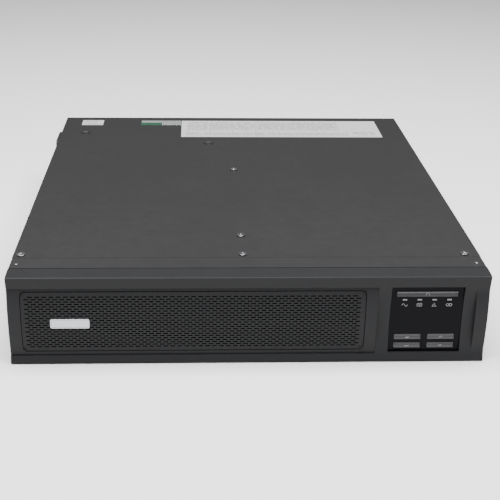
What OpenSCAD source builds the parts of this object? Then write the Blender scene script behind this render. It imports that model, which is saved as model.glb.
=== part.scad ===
// Uninterruptible power supply for a two-unit rack space or for standing on its side.
// X runs to the right seen from the front, Y from the front to the rear, Z up.
// The origin is the centre of the underside.

/* [Enclosure] */
// Width of the chassis
body_w = 432; // [430:1:436]
// Depth from the front of the bezel to the rear edge
body_d = 490; // [488:1:500]
// Height of the chassis
body_h = 87; // [86.5:0.5:88]
// Thickness of the sheet steel
sheet = 1.2; // [1:0.1:1.3]
// Depth of the strip of the top that belongs to the front frame
strip_d = 22; // [20:1:24]
// Gap between neighbouring sheets of the top
seam = 0.4; // [0.3:0.1:0.6]
// How far the rear panel is set in from the rear edge
rear_recess = 10; // [9:0.5:12]

/* [Front bezel] */
// Depth of the bezel
bezel_d = 20; // [19:0.5:21]
// Wall of the moulded plastic
bezel_wall = 2.4; // [2:0.1:2.6]
// Radius of the convex panel and of the concave display bay
bulge_r = 202; // [180:1:240]
// Left edge of the display bay
bay_left = 115; // [114:0.5:116]
// Right edge of the display bay
bay_right = 204; // [203:0.5:206]

/* [Grille] */
// Left edge of the grille panel
grille_left = -204.5; // [-206:0.5:-203]
// Right edge of the grille panel
grille_right = 104.5; // [103:0.5:106]
// Underside of the grille panel
grille_low = 12; // [11:0.5:13]
// Top of the grille panel
grille_high = 72; // [71:0.5:73]
// Rows of air slits
slit_rows = 12; // [8:1:12]
// Air slits in a row
slit_columns = 6; // [4:1:8]

/* [Display] */
// Side of the square display module
display_side = 65.6; // [65:0.2:66]
// Middle of the display across the front
display_x = 160.2; // [159.8:0.2:160.6]
// Middle of the display above the underside
display_z = 42; // [41.5:0.5:42.5]

/* [Battery] */
// Length of one battery block
block_l = 151; // [150:0.5:151]
// Height of one battery block, which lies on its side
block_h = 93.6; // [93:0.1:93.8]
// Thickness of one battery block
block_t = 65; // [64:0.5:66]

/* [Rear panel] */
// Diameter of the fan's air hole
fan_hole_d = 76; // [74:1:77]
// Middle of the fan across the rear
fan_x = -165; // [-167:1:-160]
// Side of the square fan frame
fan_side = 80; // [80:1:80]

/* [Rack fixing] */
// Diameter of the holes for the rack ears
ear_hole_d = 4; // [3.5:0.1:4.5]
// Distance of the ear holes along the side
ear_pitch_y = 20; // [18:1:24]
// Distance of the ear holes up the side
ear_pitch_z = 50; // [45:1:52]

/* [Hidden] */
$fn = 48;

// Enclosure planes
half_w = body_w / 2;
front_y = -body_d / 2;
rear_y = body_d / 2;
chassis_y = front_y + bezel_d;
bezel_back = chassis_y - 0.5;
inner_x = half_w - sheet;
lid_z = body_h - sheet;
flange_z = lid_z - sheet;
strip_back = chassis_y + strip_d;
panel_y = rear_y - rear_recess;
panel_back = panel_y + sheet;

// Screw places on the top
front_screw_y = chassis_y + 28.5;
front_screws = [[-208.7, front_screw_y], [202, front_screw_y], [-5.1, front_screw_y]];
wall_screws = [[-5.1, chassis_y + 73], [-5.1, chassis_y + 264]];
screw_head_r = 4;
screw_head_h = 1.4;
screw_shank_r = 1.9;
screw_hole_r = 2;
rivets = [[-210, chassis_y + 8.5], [208.5, chassis_y + 8.5]];
dimples = [[-32.3, chassis_y + 361.5], [-185.6, chassis_y + 403.7]];
dimple_r = 6.25;
dimple_floor_r = 4.4;
dimple_depth = 2.6;
dimple_sheet = 1;

// Battery bay
wall_x = -12;
bay_x = (-inner_x + wall_x) / 2;
tray_w = 196;
tray_left = bay_x - tray_w / 2;
tray_right = bay_x + tray_w / 2;
tray_front = chassis_y + 4;
tray_l = 318;
tray_sheet = 1;
tray_z = 2.2;
block_gap = 6.4;
block_z = tray_z + tray_sheet;
bay_end = tray_front + tray_l + 9;
battery_hole = [tray_left - 1, tray_right + 1, tray_z - 0.6, 74];
door_y = chassis_y - 1.5;
thumb_x = [tray_left + 22, tray_right - 22];
thumb_z = 77.6;
door_z = [7, 82];
thumb_shank_r = 2.4;

// Display planes
display_left = display_x - display_side / 2;
display_right = display_x + display_side / 2;
display_low = display_z - display_side / 2;
display_high = display_z + display_side / 2;
lens_y = front_y + 5.4;
housing_y = lens_y + 1.6;
housing_back = chassis_y + 14;
fit_gap = 0.3;
key_h = 5;
key_w = 24.5;
key_proud = 0.8;
key_pitch = 30.8;
soft_keys = [for (z = [display_z - 18.2, display_z - 26.9], x = [-0.5, 0.5]) [display_x + x * key_pitch, z]];
power_bar = [display_x - 27.7, display_z + 22.6, 55.4, key_h];
light_xs = [for (i = [-1.5:1.5]) display_x + 13.5 * i];
light_z = display_z + 19.2;
lcd_low = display_z - 11;
lcd_high = display_z + 11.5;

// Main board
board_x = 4;
board_y = -180;
board_w = 202;
board_l = 382;
board_z = 10;
board_t = 1.6;
board_top = board_z + board_t;
post_places = [for (x = [12, 105, 198], y = [-170, 10, 192]) [x, y]];

// Transformer
core_x = -110;
core_y = 158;
core_w = 105;
core_t = 44;
core_leg = 34;
core_window = 18;
core_yoke = 17;
core_h = body_h - dimple_depth - dimple_sheet - 0.1 - 2 * sheet;

// Rear connectors
outlet_pitch_x = 31;
outlet_pitch_z = 25;
bank_z = 44;
bank_depth = 26;
bank_left_x = -78;
bank_right_x = -4;
inlet_x = 62;
inlet_z = 62;
breaker_x = 62;
breaker_z = 24;
fan_z = body_h / 2;
fan_depth = 25;

module box(x0, x1, y0, y1, z0, z1) {
    translate([x0, y0, z0]) cube([x1 - x0, y1 - y0, z1 - z0]);
}

// A cylinder along Y that starts at the given point
module rod_y(x, y, z, r, length) {
    translate([x, y, z]) rotate([-90, 0, 0]) cylinder(r = r, h = length);
}

module rod_z(x, y, z, r, length) {
    translate([x, y, z]) cylinder(r = r, h = length);
}

// A rectangle with round corners, from its low corner
module round_rect(w, h, r) {
    translate([r, 0]) square([w - 2 * r, h]);
    translate([0, r]) square([w, h - 2 * r]);
    for (x = [r, w - r], y = [r, h - r]) translate([x, y]) circle(r = r);
}

// A plate that stands in the XZ plane, with round corners, from its front face towards +Y
module upright_plate(x0, x1, y, z0, z1, r, depth) {
    translate([x0, y + depth, z0]) rotate([90, 0, 0])
        linear_extrude(depth) round_rect(x1 - x0, z1 - z0, r);
}

// Points of an arc through depths that swell by the bulge radius between two heights
function swell(z) =
    let (half = (bay_top - bay_low) / 2, mid = (bay_top + bay_low) / 2)
    sqrt(bulge_r * bulge_r - pow(z - mid, 2)) - sqrt(bulge_r * bulge_r - half * half);
bay_top = 75;
bay_low = 8;
arc_steps = 12;
arc_zs = [for (i = [0:arc_steps]) bay_top + (bay_low - bay_top) * i / arc_steps];

// Depths of the bezel's outside
band_y = front_y + 0.5;
band_edge_y = front_y + 2.2;
panel_edge_y = front_y + 3.5;

module sleeve_outline(face) {
    polygon(concat(
        [[bezel_back, 0], [bezel_back, body_h], [band_y + 0.6, body_h - 1], [band_y, body_h - 1.8]],
        [[band_edge_y, bay_top]],
        face,
        [[band_edge_y, bay_low], [band_y, 1.2], [band_y + 1, 0]]
    ));
}

// Extrudes an outline given in Y and Z along X
module along_x(x0, x1) {
    translate([x0, 0, 0]) rotate([90, 0, 90]) linear_extrude(x1 - x0) children();
}

convex_face = [for (z = arc_zs) [panel_edge_y - swell(z), z]];
concave_face = [for (z = arc_zs) [band_edge_y + swell(z), z]];

// --- Chassis -------------------------------------------------------------------------

module base_tray() {
    color("dimgray") difference() {
        union() {
            box(-half_w, half_w, chassis_y, rear_y, 0, sheet);
            box(-half_w, -inner_x, chassis_y, rear_y, 0, lid_z);
            box(inner_x, half_w, chassis_y, rear_y, 0, lid_z);
            for (p = post_places) rod_z(p[0], p[1], 0, 3, board_z);
        }
        for (x = [-half_w - 1, inner_x - 1])
            for (y = [-1, 1], z = [-1, 1])
                translate([x, ear_y + y * ear_pitch_y / 2, ear_z + z * ear_pitch_z / 2])
                    rotate([0, 90, 0]) cylinder(d = ear_hole_d, h = sheet + 2);
    }
}
ear_y = chassis_y + 35;
ear_z = body_h / 2;

module front_frame() {
    color("dimgray") difference() {
        union() {
            box(-inner_x, inner_x, chassis_y, chassis_y + sheet, sheet, body_h);
            box(-half_w, half_w, chassis_y, strip_back, lid_z, body_h);
            box(-inner_x + 1.8, inner_x - 1.8, strip_back - 4, strip_back + 16, flange_z, lid_z);
        }
        box(battery_hole[0], battery_hole[1], chassis_y - 1, chassis_y + 3,
            battery_hole[2], battery_hole[3]);
        box(display_left - fit_gap, display_right + fit_gap, chassis_y - 1, chassis_y + 3,
            display_low - fit_gap, display_high + fit_gap);
        for (x = thumb_x) rod_y(x, chassis_y - 1, thumb_z, thumb_shank_r + 0.5, 4);
        for (h = hook_places) box(h[0] - 6, h[0] + 6, chassis_y - 1, chassis_y + 3, h[1] - 2, h[1] + 3);
        for (s = front_screws) rod_z(s[0], s[1], flange_z - 1, screw_hole_r, 4);
        for (s = rivets) rod_z(s[0], s[1], lid_z - 1, 1, 4);
        for (i = [0:5]) box(10 + 16 * i, 20 + 16 * i, chassis_y - 1, chassis_y + 3, 20, 66);
    }
}

module rear_panel() {
    color("dimgray") difference() {
        union() {
            box(-inner_x, inner_x, panel_y, panel_back, sheet, lid_z);
            box(-inner_x + 8, inner_x - 8, panel_y - 10, panel_y, flange_z, lid_z);
        }
        rod_y(fan_x, panel_y - 1, fan_z, fan_hole_d / 2, 4);
        for (s = fan_screw_places) rod_y(s[0], panel_y - 1, s[1], screw_hole_r, 4);
        for (x = [bank_left_x, bank_right_x])
            box(x - outlet_pitch_x - 0.1, x + outlet_pitch_x + 0.1, panel_y - 1, panel_back + 1,
                bank_z - outlet_pitch_z - 0.1, bank_z + outlet_pitch_z + 0.1);
        box(inlet_x - 14.1, inlet_x + 14.1, panel_y - 1, panel_back + 1, inlet_z - 11.1, inlet_z + 11.1);
        for (s = panel_screw_places) rod_y(s[0], panel_y - 1, s[1], 1.6, 4);
        rod_y(breaker_x, panel_y - 1, breaker_z, 6.1, 4);
        box(slot_x - 30, slot_x + 30, panel_y - 1, panel_back + 1, slot_z - 14, slot_z + 14);
        for (p = [[usb_x, 6.2, 5.7], [serial_x, 8.1, 7.1], [epo_x, 9.1, 5.1]])
            box(p[0] - p[1], p[0] + p[1], panel_y - 1, panel_back + 1, port_z - p[2], port_z + p[2]);
        for (i = [0:9]) box(44 + 4 * i, 46 + 4 * i, panel_y - 1, panel_back + 1, 4, 12);
    }
}
fan_screw_places = [for (x = [-36, 36], z = [-36, 36]) [fan_x + x, fan_z + z]];
slot_x = 158;
slot_z = 60;
port_z = 24;
usb_x = 104;
serial_x = 134;
epo_x = 172;
ground_place = [198, 26];
panel_screw_places = [
    [inlet_x - 20, inlet_z], [inlet_x + 20, inlet_z],
    [slot_x - 35, slot_z], [slot_x + 35, slot_z], ground_place
];

module top_cover() {
    color([0.29, 0.29, 0.3]) difference() {
        union() {
            box(-half_w, half_w, strip_back + seam, rear_y, lid_z, body_h);
            for (x = [-inner_x + 0.2, inner_x - 0.2 - sheet])
                box(x, x + sheet, strip_back + 18, panel_y - 12, body_h - 13, lid_z);
            box(-inner_x + 0.2, inner_x - 0.2, rear_y - sheet, rear_y, lid_z - 2.4, lid_z);
            for (d = dimples) translate([d[0], d[1], body_h - dimple_depth - dimple_sheet])
                cylinder(r1 = dimple_floor_r + 1, r2 = dimple_r + 1, h = dimple_depth + dimple_sheet);
        }
        for (d = dimples) {
            translate([d[0], d[1], body_h - dimple_depth])
                cylinder(r1 = dimple_floor_r, r2 = dimple_r, h = dimple_depth);
            rod_z(d[0], d[1], body_h - 6, screw_hole_r, 8);
        }
        for (s = concat(front_screws, wall_screws)) rod_z(s[0], s[1], lid_z - 1, screw_hole_r, 4);
    }
}

module bay_wall() {
    color("dimgray") difference() {
        union() {
            box(wall_x, wall_x + sheet, chassis_y + sheet, bay_end + sheet, sheet, lid_z);
            box(wall_x, wall_x + 16, strip_back + 16.5, bay_end + sheet, flange_z, lid_z);
            box(-inner_x, wall_x, bay_end, bay_end + sheet, sheet, lid_z - 13);
        }
        box(wall_x - 1, wall_x + 17, chassis_y, strip_back + 16.5, flange_z - 0.1, lid_z + 1);
        for (s = wall_screws) rod_z(s[0], s[1], flange_z - 1, screw_hole_r, 4);
        box(bay_x - 24, bay_x + 24, bay_end - 1, bay_end + 3, 18, 48);
    }
}

module side_lug() {
    color([0.2, 0.2, 0.21]) {
        translate([-half_w - 4.2, chassis_y + 378, 58]) rotate([90, 0, 90])
            linear_extrude(4.2) round_rect(42, 26, 5);
    }
}

module cover_screw(x, y) {
    rod_z(x, y, body_h, screw_head_r, screw_head_h);
    rod_z(x, y, flange_z - 3, screw_shank_r, body_h - flange_z + 3);
}

module cover_screws() {
    color("silver") for (s = concat(front_screws, wall_screws)) cover_screw(s[0], s[1]);
}

module recessed_screws() {
    color([0.12, 0.12, 0.13]) for (d = dimples) {
        rod_z(d[0], d[1], body_h - dimple_depth, 3.6, 2);
        rod_z(d[0], d[1], body_h - dimple_depth - 6, screw_shank_r, 6);
    }
}

module frame_rivets() {
    color("silver") for (s = rivets) {
        rod_z(s[0], s[1], body_h, 1.6, 0.5);
        rod_z(s[0], s[1], lid_z, 0.9, sheet);
    }
}

module panel_screw(x, z, head_y, head_r) {
    rod_y(x, head_y, z, head_r, 1.6);
    rod_y(x, panel_y - 3, z, 1.5, head_y - panel_y + 3);
}

module rear_screws() {
    color("silver") {
        for (s = fan_screw_places) panel_screw(s[0], s[1], panel_back, 3.5);
        for (i = [0:1]) panel_screw(panel_screw_places[i][0], panel_screw_places[i][1], panel_back + 2, 2.8);
        for (i = [2:3]) panel_screw(panel_screw_places[i][0], panel_screw_places[i][1], panel_back + 1, 3);
        panel_screw(ground_place[0], ground_place[1], panel_back, 4);
    }
}

module rating_label() {
    color([0.8, 0.8, 0.8]) box(-66, 186.5, chassis_y + 386.5, chassis_y + 455.3, body_h, body_h + 0.15);
}

module serial_label() {
    color([0.82, 0.82, 0.82]) box(-194, -167, chassis_y + 436, chassis_y + 457, body_h, body_h + 0.15);
}

module seal_sticker() {
    color([0.7, 0.72, 0.72]) box(-118, -67, chassis_y + 437, chassis_y + 456, body_h, body_h + 0.15);
}

// --- Electronics ---------------------------------------------------------------------

module main_board() {
    color("darkgreen") difference() {
        box(board_x, board_x + board_w, board_y, board_y + board_l, board_z, board_top);
        for (p = post_places) rod_z(p[0], p[1], board_z - 1, 1.6, 4);
    }
}

module heat_sink(x, y) {
    box(x, x + 6, y, y + 120, board_top, board_top + 56);
    for (i = [0:8]) box(x + 6, x + 30, y + 14.5 * i, y + 14.5 * i + 2, board_top, board_top + 56);
}

module heat_sinks() {
    color("gray") {
        heat_sink(40, -70);
        heat_sink(120, -70);
    }
}

module power_transistors() {
    color([0.1, 0.1, 0.1]) for (x = [40, 120], i = [0:5])
        box(x - 5, x, -62 + 19 * i, -51 + 19 * i, board_top + 12, board_top + 30);
}

module capacitors() {
    color("navy") {
        for (i = [0:3]) rod_z(180, -50 + 30 * i, board_top, 12, 42);
        for (i = [0:2]) rod_z(20, -150 + 24 * i, board_top, 8, 28);
    }
}

module relays() {
    color([0.1, 0.12, 0.3]) for (i = [0:4])
        box(30 + 32 * i, 56 + 32 * i, 120, 136, board_top, board_top + 22);
}

module inductor(x, y) {
    translate([x, y, board_top + 11]) rotate_extrude() translate([17, 0]) circle(r = 8);
    rod_z(x - 17, y, board_top, 2, 6);
    rod_z(x + 17, y, board_top, 2, 6);
}

module inductors() {
    color("goldenrod") {
        inductor(80, -130);
        inductor(150, -130);
    }
}

module transformer_core() {
    color("slategray") translate([core_x - core_w / 2, core_y + core_t / 2, sheet]) rotate([90, 0, 0])
        linear_extrude(core_t) difference() {
            square([core_w, core_h]);
            for (x = [core_w / 2 - core_leg / 2 - core_window, core_w / 2 + core_leg / 2])
                translate([x, core_yoke]) square([core_window, core_h - 2 * core_yoke]);
        }
}

module transformer_coils() {
    coil = core_window - 0.4;
    bulge = 9;
    color("peru") translate([core_x, core_y, sheet + core_yoke + 0.4])
        linear_extrude(core_h - 2 * core_yoke - 0.8) difference() {
            translate([-core_leg / 2 - coil, -core_t / 2 - bulge])
                round_rect(core_leg + 2 * coil, core_t + 2 * bulge, 8);
            square([core_leg + 0.4, core_t + 0.4], center = true);
        }
}

module transformer_bracket() {
    color("darkgray") difference() {
        union() {
            box(core_x - core_w / 2, core_x + core_w / 2, core_y - 20, core_y + 20,
                sheet + core_h, 2 * sheet + core_h);
            for (d = dimples)
                box(min(d[0] - 8, core_x), max(d[0] + 8, core_x), d[1] - 8, d[1] + 8,
                    sheet + core_h, 2 * sheet + core_h);
        }
        for (d = dimples) rod_z(d[0], d[1], core_h, screw_hole_r, 6);
    }
}

module connector_socket() {
    color("darkorange") difference() {
        box(bay_x - 23.9, bay_x + 23.9, bay_end - 3, bay_end + 12, 18.1, 47.9);
        box(bay_x - 18.5, bay_x + 18.5, bay_end - 4, bay_end + 6, 22.5, 43.5);
    }
}

// A round lead through the given points
module lead(points, r) {
    for (i = [0:len(points) - 2]) {
        span = points[i + 1] - points[i];
        length = norm(span);
        translate(points[i]) rotate([0, acos(span[2] / length), atan2(span[1], span[0])])
            cylinder(r = r, h = length);
    }
    for (i = [1:len(points) - 2]) translate(points[i]) sphere(r = 1.06 * r);
}

module battery_leads() {
    lead_y = bay_end + 15.4;
    color("firebrick") for (i = [0:1]) {
        x = bay_x - 8 + 16 * i;
        z = 30 + 9 * i;
        end_x = 14 + 8 * i;
        lead([[x, bay_end + 12, z], [x, lead_y, z], [end_x, lead_y, z], [end_x, lead_y, board_top]], 2.6);
    }
}

module display_ribbon() {
    color("lightgray") {
        box(display_x - 10, display_x + 10, housing_back, housing_back + 24, 40, 40.6);
        box(display_x - 10, display_x + 10, housing_back + 23.4, housing_back + 24, board_top, 40);
    }
}

// --- Fan -----------------------------------------------------------------------------

module fan_frame() {
    color([0.12, 0.12, 0.12]) {
        difference() {
            box(fan_x - fan_side / 2, fan_x + fan_side / 2, panel_y - fan_depth, panel_y,
                fan_z - fan_side / 2, fan_z + fan_side / 2);
            rod_y(fan_x, panel_y - fan_depth - 1, fan_z, 38.5, fan_depth + 2);
            for (s = fan_screw_places)
                rod_y(s[0], panel_y - fan_depth - 1, s[1], screw_hole_r, fan_depth + 2);
        }
        rod_y(fan_x, panel_y - fan_depth, fan_z, 15, 4);
        for (a = [45, 135]) translate([fan_x, panel_y - fan_depth + 1.5, fan_z]) rotate([0, a, 0])
            cube([79, 3, 4], center = true);
        rod_y(fan_x, panel_y - fan_depth, fan_z, 2, 18);
    }
}

module fan_rotor() {
    hub_y = panel_y - fan_depth + 4.6;
    color([0.15, 0.15, 0.16]) difference() {
        union() {
            rod_y(fan_x, hub_y, fan_z, 17, 17);
            intersection() {
                for (i = [0:6]) translate([fan_x, hub_y + 8.5, fan_z]) rotate([0, i * 360 / 7, 0])
                    translate([26, 0, 0]) rotate([38, 0, 0]) cube([22, 1.6, 21], center = true);
                rod_y(fan_x, hub_y + 0.5, fan_z, 37, 16);
            }
        }
        rod_y(fan_x, hub_y - 1, fan_z, 2.05, 16.4);
    }
}

module fan_guard() {
    guard_y = panel_back + 1.4;
    color("silver") {
        for (r = [10, 17.5, 25, 32.5, 39]) translate([fan_x, guard_y, fan_z]) rotate([90, 0, 0])
            rotate_extrude() translate([r, 0]) circle(r = 0.8, $fn = 16);
        for (a = [0, 90]) translate([fan_x, guard_y + 1.2, fan_z]) rotate([0, a, 0])
            cube([84, 1.2, 2.4], center = true);
        for (a = [0, 90, 180, 270]) translate([fan_x, guard_y - 0.1, fan_z]) rotate([0, a, 0])
            translate([41.2, 0, 0]) cube([1.6, 2.6, 3], center = true);
    }
}

// --- Rear connectors -----------------------------------------------------------------

// The keyed outline of a mains connector: a rectangle with two corners cut off
module mains_outline(w, h, cut) {
    polygon([[-w / 2, -h / 2], [w / 2, -h / 2], [w / 2, h / 2 - cut], [w / 2 - cut, h / 2],
             [-w / 2 + cut, h / 2], [-w / 2, h / 2 - cut]]);
}

// Stands an outline up at the rear, its depth running forwards from the given depth
module from_rear(x, y, z, depth) {
    translate([x, y, z]) rotate([90, 0, 0]) linear_extrude(depth) children();
}

module outlet_bank(x) {
    face = panel_back + 2;
    difference() {
        union() {
            box(x - outlet_pitch_x, x + outlet_pitch_x, face - bank_depth, face,
                bank_z - outlet_pitch_z, bank_z + outlet_pitch_z);
            box(x - outlet_pitch_x - 2, x + outlet_pitch_x + 2, panel_back, face,
                bank_z - outlet_pitch_z - 2, bank_z + outlet_pitch_z + 2);
        }
        for (i = [-0.5, 0.5], j = [-0.5, 0.5]) {
            cx = x + i * outlet_pitch_x;
            cz = bank_z + j * outlet_pitch_z;
            from_rear(cx, face + 1, cz, 19) difference() {
                mains_outline(28, 21, 5);
                mains_outline(23.6, 15.6, 4.4);
            }
            for (p = [[-7, -2], [0, 2], [7, -2]])
                box(cx + p[0] - 1.2, cx + p[0] + 1.2, face - 18, face + 1, cz + p[1] - 2.2, cz + p[1] + 2.2);
        }
    }
}

module outlet_bank_left() {
    color([0.1, 0.1, 0.1]) outlet_bank(bank_left_x);
}

module outlet_bank_right() {
    color([0.1, 0.1, 0.1]) outlet_bank(bank_right_x);
}

module power_inlet() {
    face = panel_back + 2;
    color([0.1, 0.1, 0.1]) {
        difference() {
            union() {
                box(inlet_x - 14, inlet_x + 14, face - 24, face, inlet_z - 11, inlet_z + 11);
                upright_plate(inlet_x - 25, inlet_x + 25, panel_back, inlet_z - 12.5, inlet_z + 12.5, 5, 2);
            }
            from_rear(inlet_x, face + 1, inlet_z, 18) mains_outline(24.6, 17.2, 4.6);
            for (i = [0:1]) rod_y(panel_screw_places[i][0], panel_back - 1, inlet_z, 1.6, 4);
        }
        for (p = [[-7, -1.6], [0, 2.4], [7, -1.6]])
            box(inlet_x + p[0] - 1, inlet_x + p[0] + 1, face - 18, face - 1.5,
                inlet_z + p[1] - 2, inlet_z + p[1] + 2);
    }
}

module breaker_body() {
    color([0.1, 0.1, 0.1]) difference() {
        union() {
            rod_y(breaker_x, panel_y - 26, breaker_z, 6, 26 + sheet);
            rod_y(breaker_x, panel_back, breaker_z, 8, 3);
        }
        rod_y(breaker_x, panel_y - 8, breaker_z, 4.1, 20);
    }
}

module breaker_button() {
    color([0.15, 0.15, 0.15]) rod_y(breaker_x, panel_y - 7.6, breaker_z, 4, 12.4);
}

module slot_cover() {
    color([0.5, 0.5, 0.52]) difference() {
        box(slot_x - 39, slot_x + 39, panel_back, panel_back + 1, slot_z - 17, slot_z + 17);
        for (i = [2:3]) rod_y(panel_screw_places[i][0], panel_back - 1, slot_z, 1.6, 4);
    }
}

module usb_port() {
    color("silver") difference() {
        box(usb_x - 6, usb_x + 6, panel_y - 14, panel_back + 1, port_z - 5.5, port_z + 5.5);
        difference() {
            box(usb_x - 4.3, usb_x + 4.3, panel_y - 10, panel_back + 2, port_z - 3.9, port_z + 3.9);
            box(usb_x - 2.8, usb_x + 2.8, panel_y - 11, panel_back + 0.4, port_z - 1.6, port_z + 1.6);
        }
    }
}

module serial_port() {
    color([0.12, 0.12, 0.13]) difference() {
        box(serial_x - 8, serial_x + 8, panel_y - 16, panel_back + 1, port_z - 7, port_z + 7);
        box(serial_x - 5.9, serial_x + 5.9, panel_y - 12, panel_back + 2, port_z - 3.6, port_z + 4);
        box(serial_x - 2, serial_x + 2, panel_y - 12, panel_back + 2, port_z - 5.4, port_z - 3.5);
    }
}

module epo_terminal() {
    color("seagreen") difference() {
        box(epo_x - 9, epo_x + 9, panel_y - 8, panel_back + 5, port_z - 5, port_z + 5);
        for (i = [-1:1]) rod_y(epo_x + 5.4 * i, panel_back - 2, port_z - 1.4, 1.6, 8);
    }
}

// --- Front bezel ---------------------------------------------------------------------

hook_places = [[-150, 83.5], [60, 83.5], [-150, 4], [60, 4]];

module bezel() {
    inset = bezel_wall;
    color([0.25, 0.25, 0.26]) {
        difference() {
            union() {
                along_x(-half_w, bay_left) sleeve_outline(convex_face);
                along_x(bay_left, bay_right) sleeve_outline(concave_face);
                along_x(bay_right, half_w) sleeve_outline(convex_face);
            }
            box(-half_w + inset, half_w - inset, front_y + 7.6, bezel_back + 1, inset, body_h - 1 - inset);
            box(-half_w + inset + 4, bay_left - 3, front_y + 5, front_y + 9, bay_low + 2, bay_top - 1);
            upright_plate(grille_left, grille_right, front_y - 1, grille_low, grille_high, 4.5, 12);
            box(display_left - fit_gap, display_right + fit_gap, front_y - 1, front_y + 12,
                display_low - fit_gap, display_high + fit_gap);
        }
        for (h = hook_places) {
            box(h[0] - 5, h[0] + 5, front_y + 7, chassis_y + 4, h[1] - 1, h[1] + 1);
            box(h[0] - 5, h[0] + 5, chassis_y + 2, chassis_y + 4, h[1] - 1, h[1] + 1.8);
        }
        for (z = [grille_low - 0.6, grille_high - 1])
            box(grille_left, grille_right, front_y + 4.6, front_y + 5.6, z, z + 1.6);
    }
}

module grille_panel() {
    gap = 0.2;
    slit_w = 46;
    slit_h = 1.8;
    pitch_x = (grille_right - grille_left - 8) / slit_columns;
    pitch_z = (grille_high - grille_low - 8) / slit_rows;
    color([0.24, 0.24, 0.25]) difference() {
        intersection() {
            upright_plate(grille_left + gap, grille_right - gap, front_y - 1, grille_low + gap,
                grille_high - gap, 4.3, 5.6);
            along_x(grille_left - 1, grille_right + 1)
                polygon(concat(convex_face, [[front_y + 9, bay_low], [front_y + 9, bay_top]]));
        }
        for (i = [0:slit_columns - 1], j = [0:slit_rows - 1])
            box(grille_left + 4 + (i + 0.5) * pitch_x - slit_w / 2,
                grille_left + 4 + (i + 0.5) * pitch_x + slit_w / 2,
                front_y - 1, front_y + 9,
                grille_low + 4 + (j + 0.5) * pitch_z - slit_h / 2,
                grille_low + 4 + (j + 0.5) * pitch_z + slit_h / 2);
        box(-179, -143, front_y - 1, front_y + 2.6, 36.3, 46.2);
    }
}

module badge() {
    color([0.75, 0.76, 0.78]) box(-178.6, -143.4, front_y + 0.3, front_y + 2.6, 36.5, 46);
}

// --- Battery -------------------------------------------------------------------------

module battery_door() {
    color("dimgray") difference() {
        box(tray_left - 1.6, tray_right + 1.6, door_y, door_y + sheet, door_z[0], door_z[1]);
        for (x = thumb_x) rod_y(x, door_y - 1, thumb_z, thumb_shank_r + 0.1, 4);
    }
}

module thumb_screw(x) {
    color("silver") {
        rod_y(x, door_y - 5.3, thumb_z, 3.6, 5);
        rod_y(x, door_y - 0.4, thumb_z, thumb_shank_r, 10);
    }
}

module thumb_screw_left() {
    thumb_screw(thumb_x[0]);
}

module thumb_screw_right() {
    thumb_screw(thumb_x[1]);
}

module battery_tray() {
    color("lightgray") difference() {
        box(tray_left, tray_right, tray_front, tray_front + tray_l, tray_z, tray_z + 30);
        box(tray_left + tray_sheet, tray_right - tray_sheet, tray_front + tray_sheet,
            tray_front + tray_l - tray_sheet, tray_z + tray_sheet, tray_z + 40);
        box(bay_x - 18, bay_x + 18, tray_front + tray_l - 2, tray_front + tray_l + 1, 22, 40);
    }
}

block_xs = [bay_x - block_gap / 2 - block_h, bay_x + block_gap / 2];
block_ys = [tray_front + tray_sheet + 0.5, tray_front + tray_sheet + 0.9 + block_l];

module battery_block(side, row) {
    x = block_xs[side];
    y = block_ys[row];
    inward = side == 0 ? x + block_h : x - 2;
    color([0.2, 0.2, 0.22]) {
        box(x, x + block_h, y, y + block_l, block_z, block_z + block_t);
        for (t = [20, block_l - 20]) box(inward, inward + 2, y + t - 3.2, y + t + 3.2, 30, 38);
    }
}

module battery_block_1() {
    battery_block(0, 0);
}

module battery_block_2() {
    battery_block(1, 0);
}

module battery_block_3() {
    battery_block(0, 1);
}

module battery_block_4() {
    battery_block(1, 1);
}

module battery_links() {
    half_gap = block_gap / 2 - 2;
    color("orange") {
        for (row = [0, 1], t = [20, block_l - 20])
            box(bay_x - half_gap, bay_x + half_gap, block_ys[row] + t - 3.2, block_ys[row] + t + 3.2, 24, 44);
        box(bay_x - half_gap, bay_x + half_gap, block_ys[0] + block_l - 20, block_ys[1] + 20, 44, 50);
        box(bay_x - half_gap, bay_x + half_gap, block_ys[1] + block_l - 20, block_ys[1] + block_l + 3,
            24, 40);
        box(bay_x - 17.5, bay_x + 17.5, block_ys[1] + block_l + 2, bay_end + 5, 23.2, 39.6);
    }
}

module pull_strap() {
    color([0.85, 0.8, 0.2]) box(bay_x - 45, bay_x + 45, tray_front - 1.6, tray_front, 10, 26);
}

// --- Display -------------------------------------------------------------------------

module display_housing() {
    color([0.09, 0.09, 0.1]) difference() {
        box(display_left, display_right, housing_y, housing_back, display_low, display_high);
        box(display_left + 2, display_right - 2, housing_y + 3.4, housing_back - 2,
            display_low + 2, display_high - 2);
        for (k = soft_keys) box(k[0] - key_w / 2 - 1, k[0] + key_w / 2 + 1, housing_y - 1, housing_y + 4,
            k[1] - key_h / 2 - 1, k[1] + key_h / 2 + 1);
        box(power_bar[0] - 1, power_bar[0] + power_bar[2] + 1, housing_y - 1, housing_y + 4,
            power_bar[1] - 1, power_bar[1] + power_bar[3] + 1);
        box(display_left + 5, display_right - 5, housing_y - 1, housing_y + 4, lcd_low - 0.4, lcd_high + 0.4);
        for (x = light_xs) box(x - 2.1, x + 2.1, housing_y - 1, housing_y + 4, light_z - 0.9, light_z + 0.9);
        box(display_x - 12, display_x + 12, housing_back - 3, housing_back + 1, 38, 42);
    }
}

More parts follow.
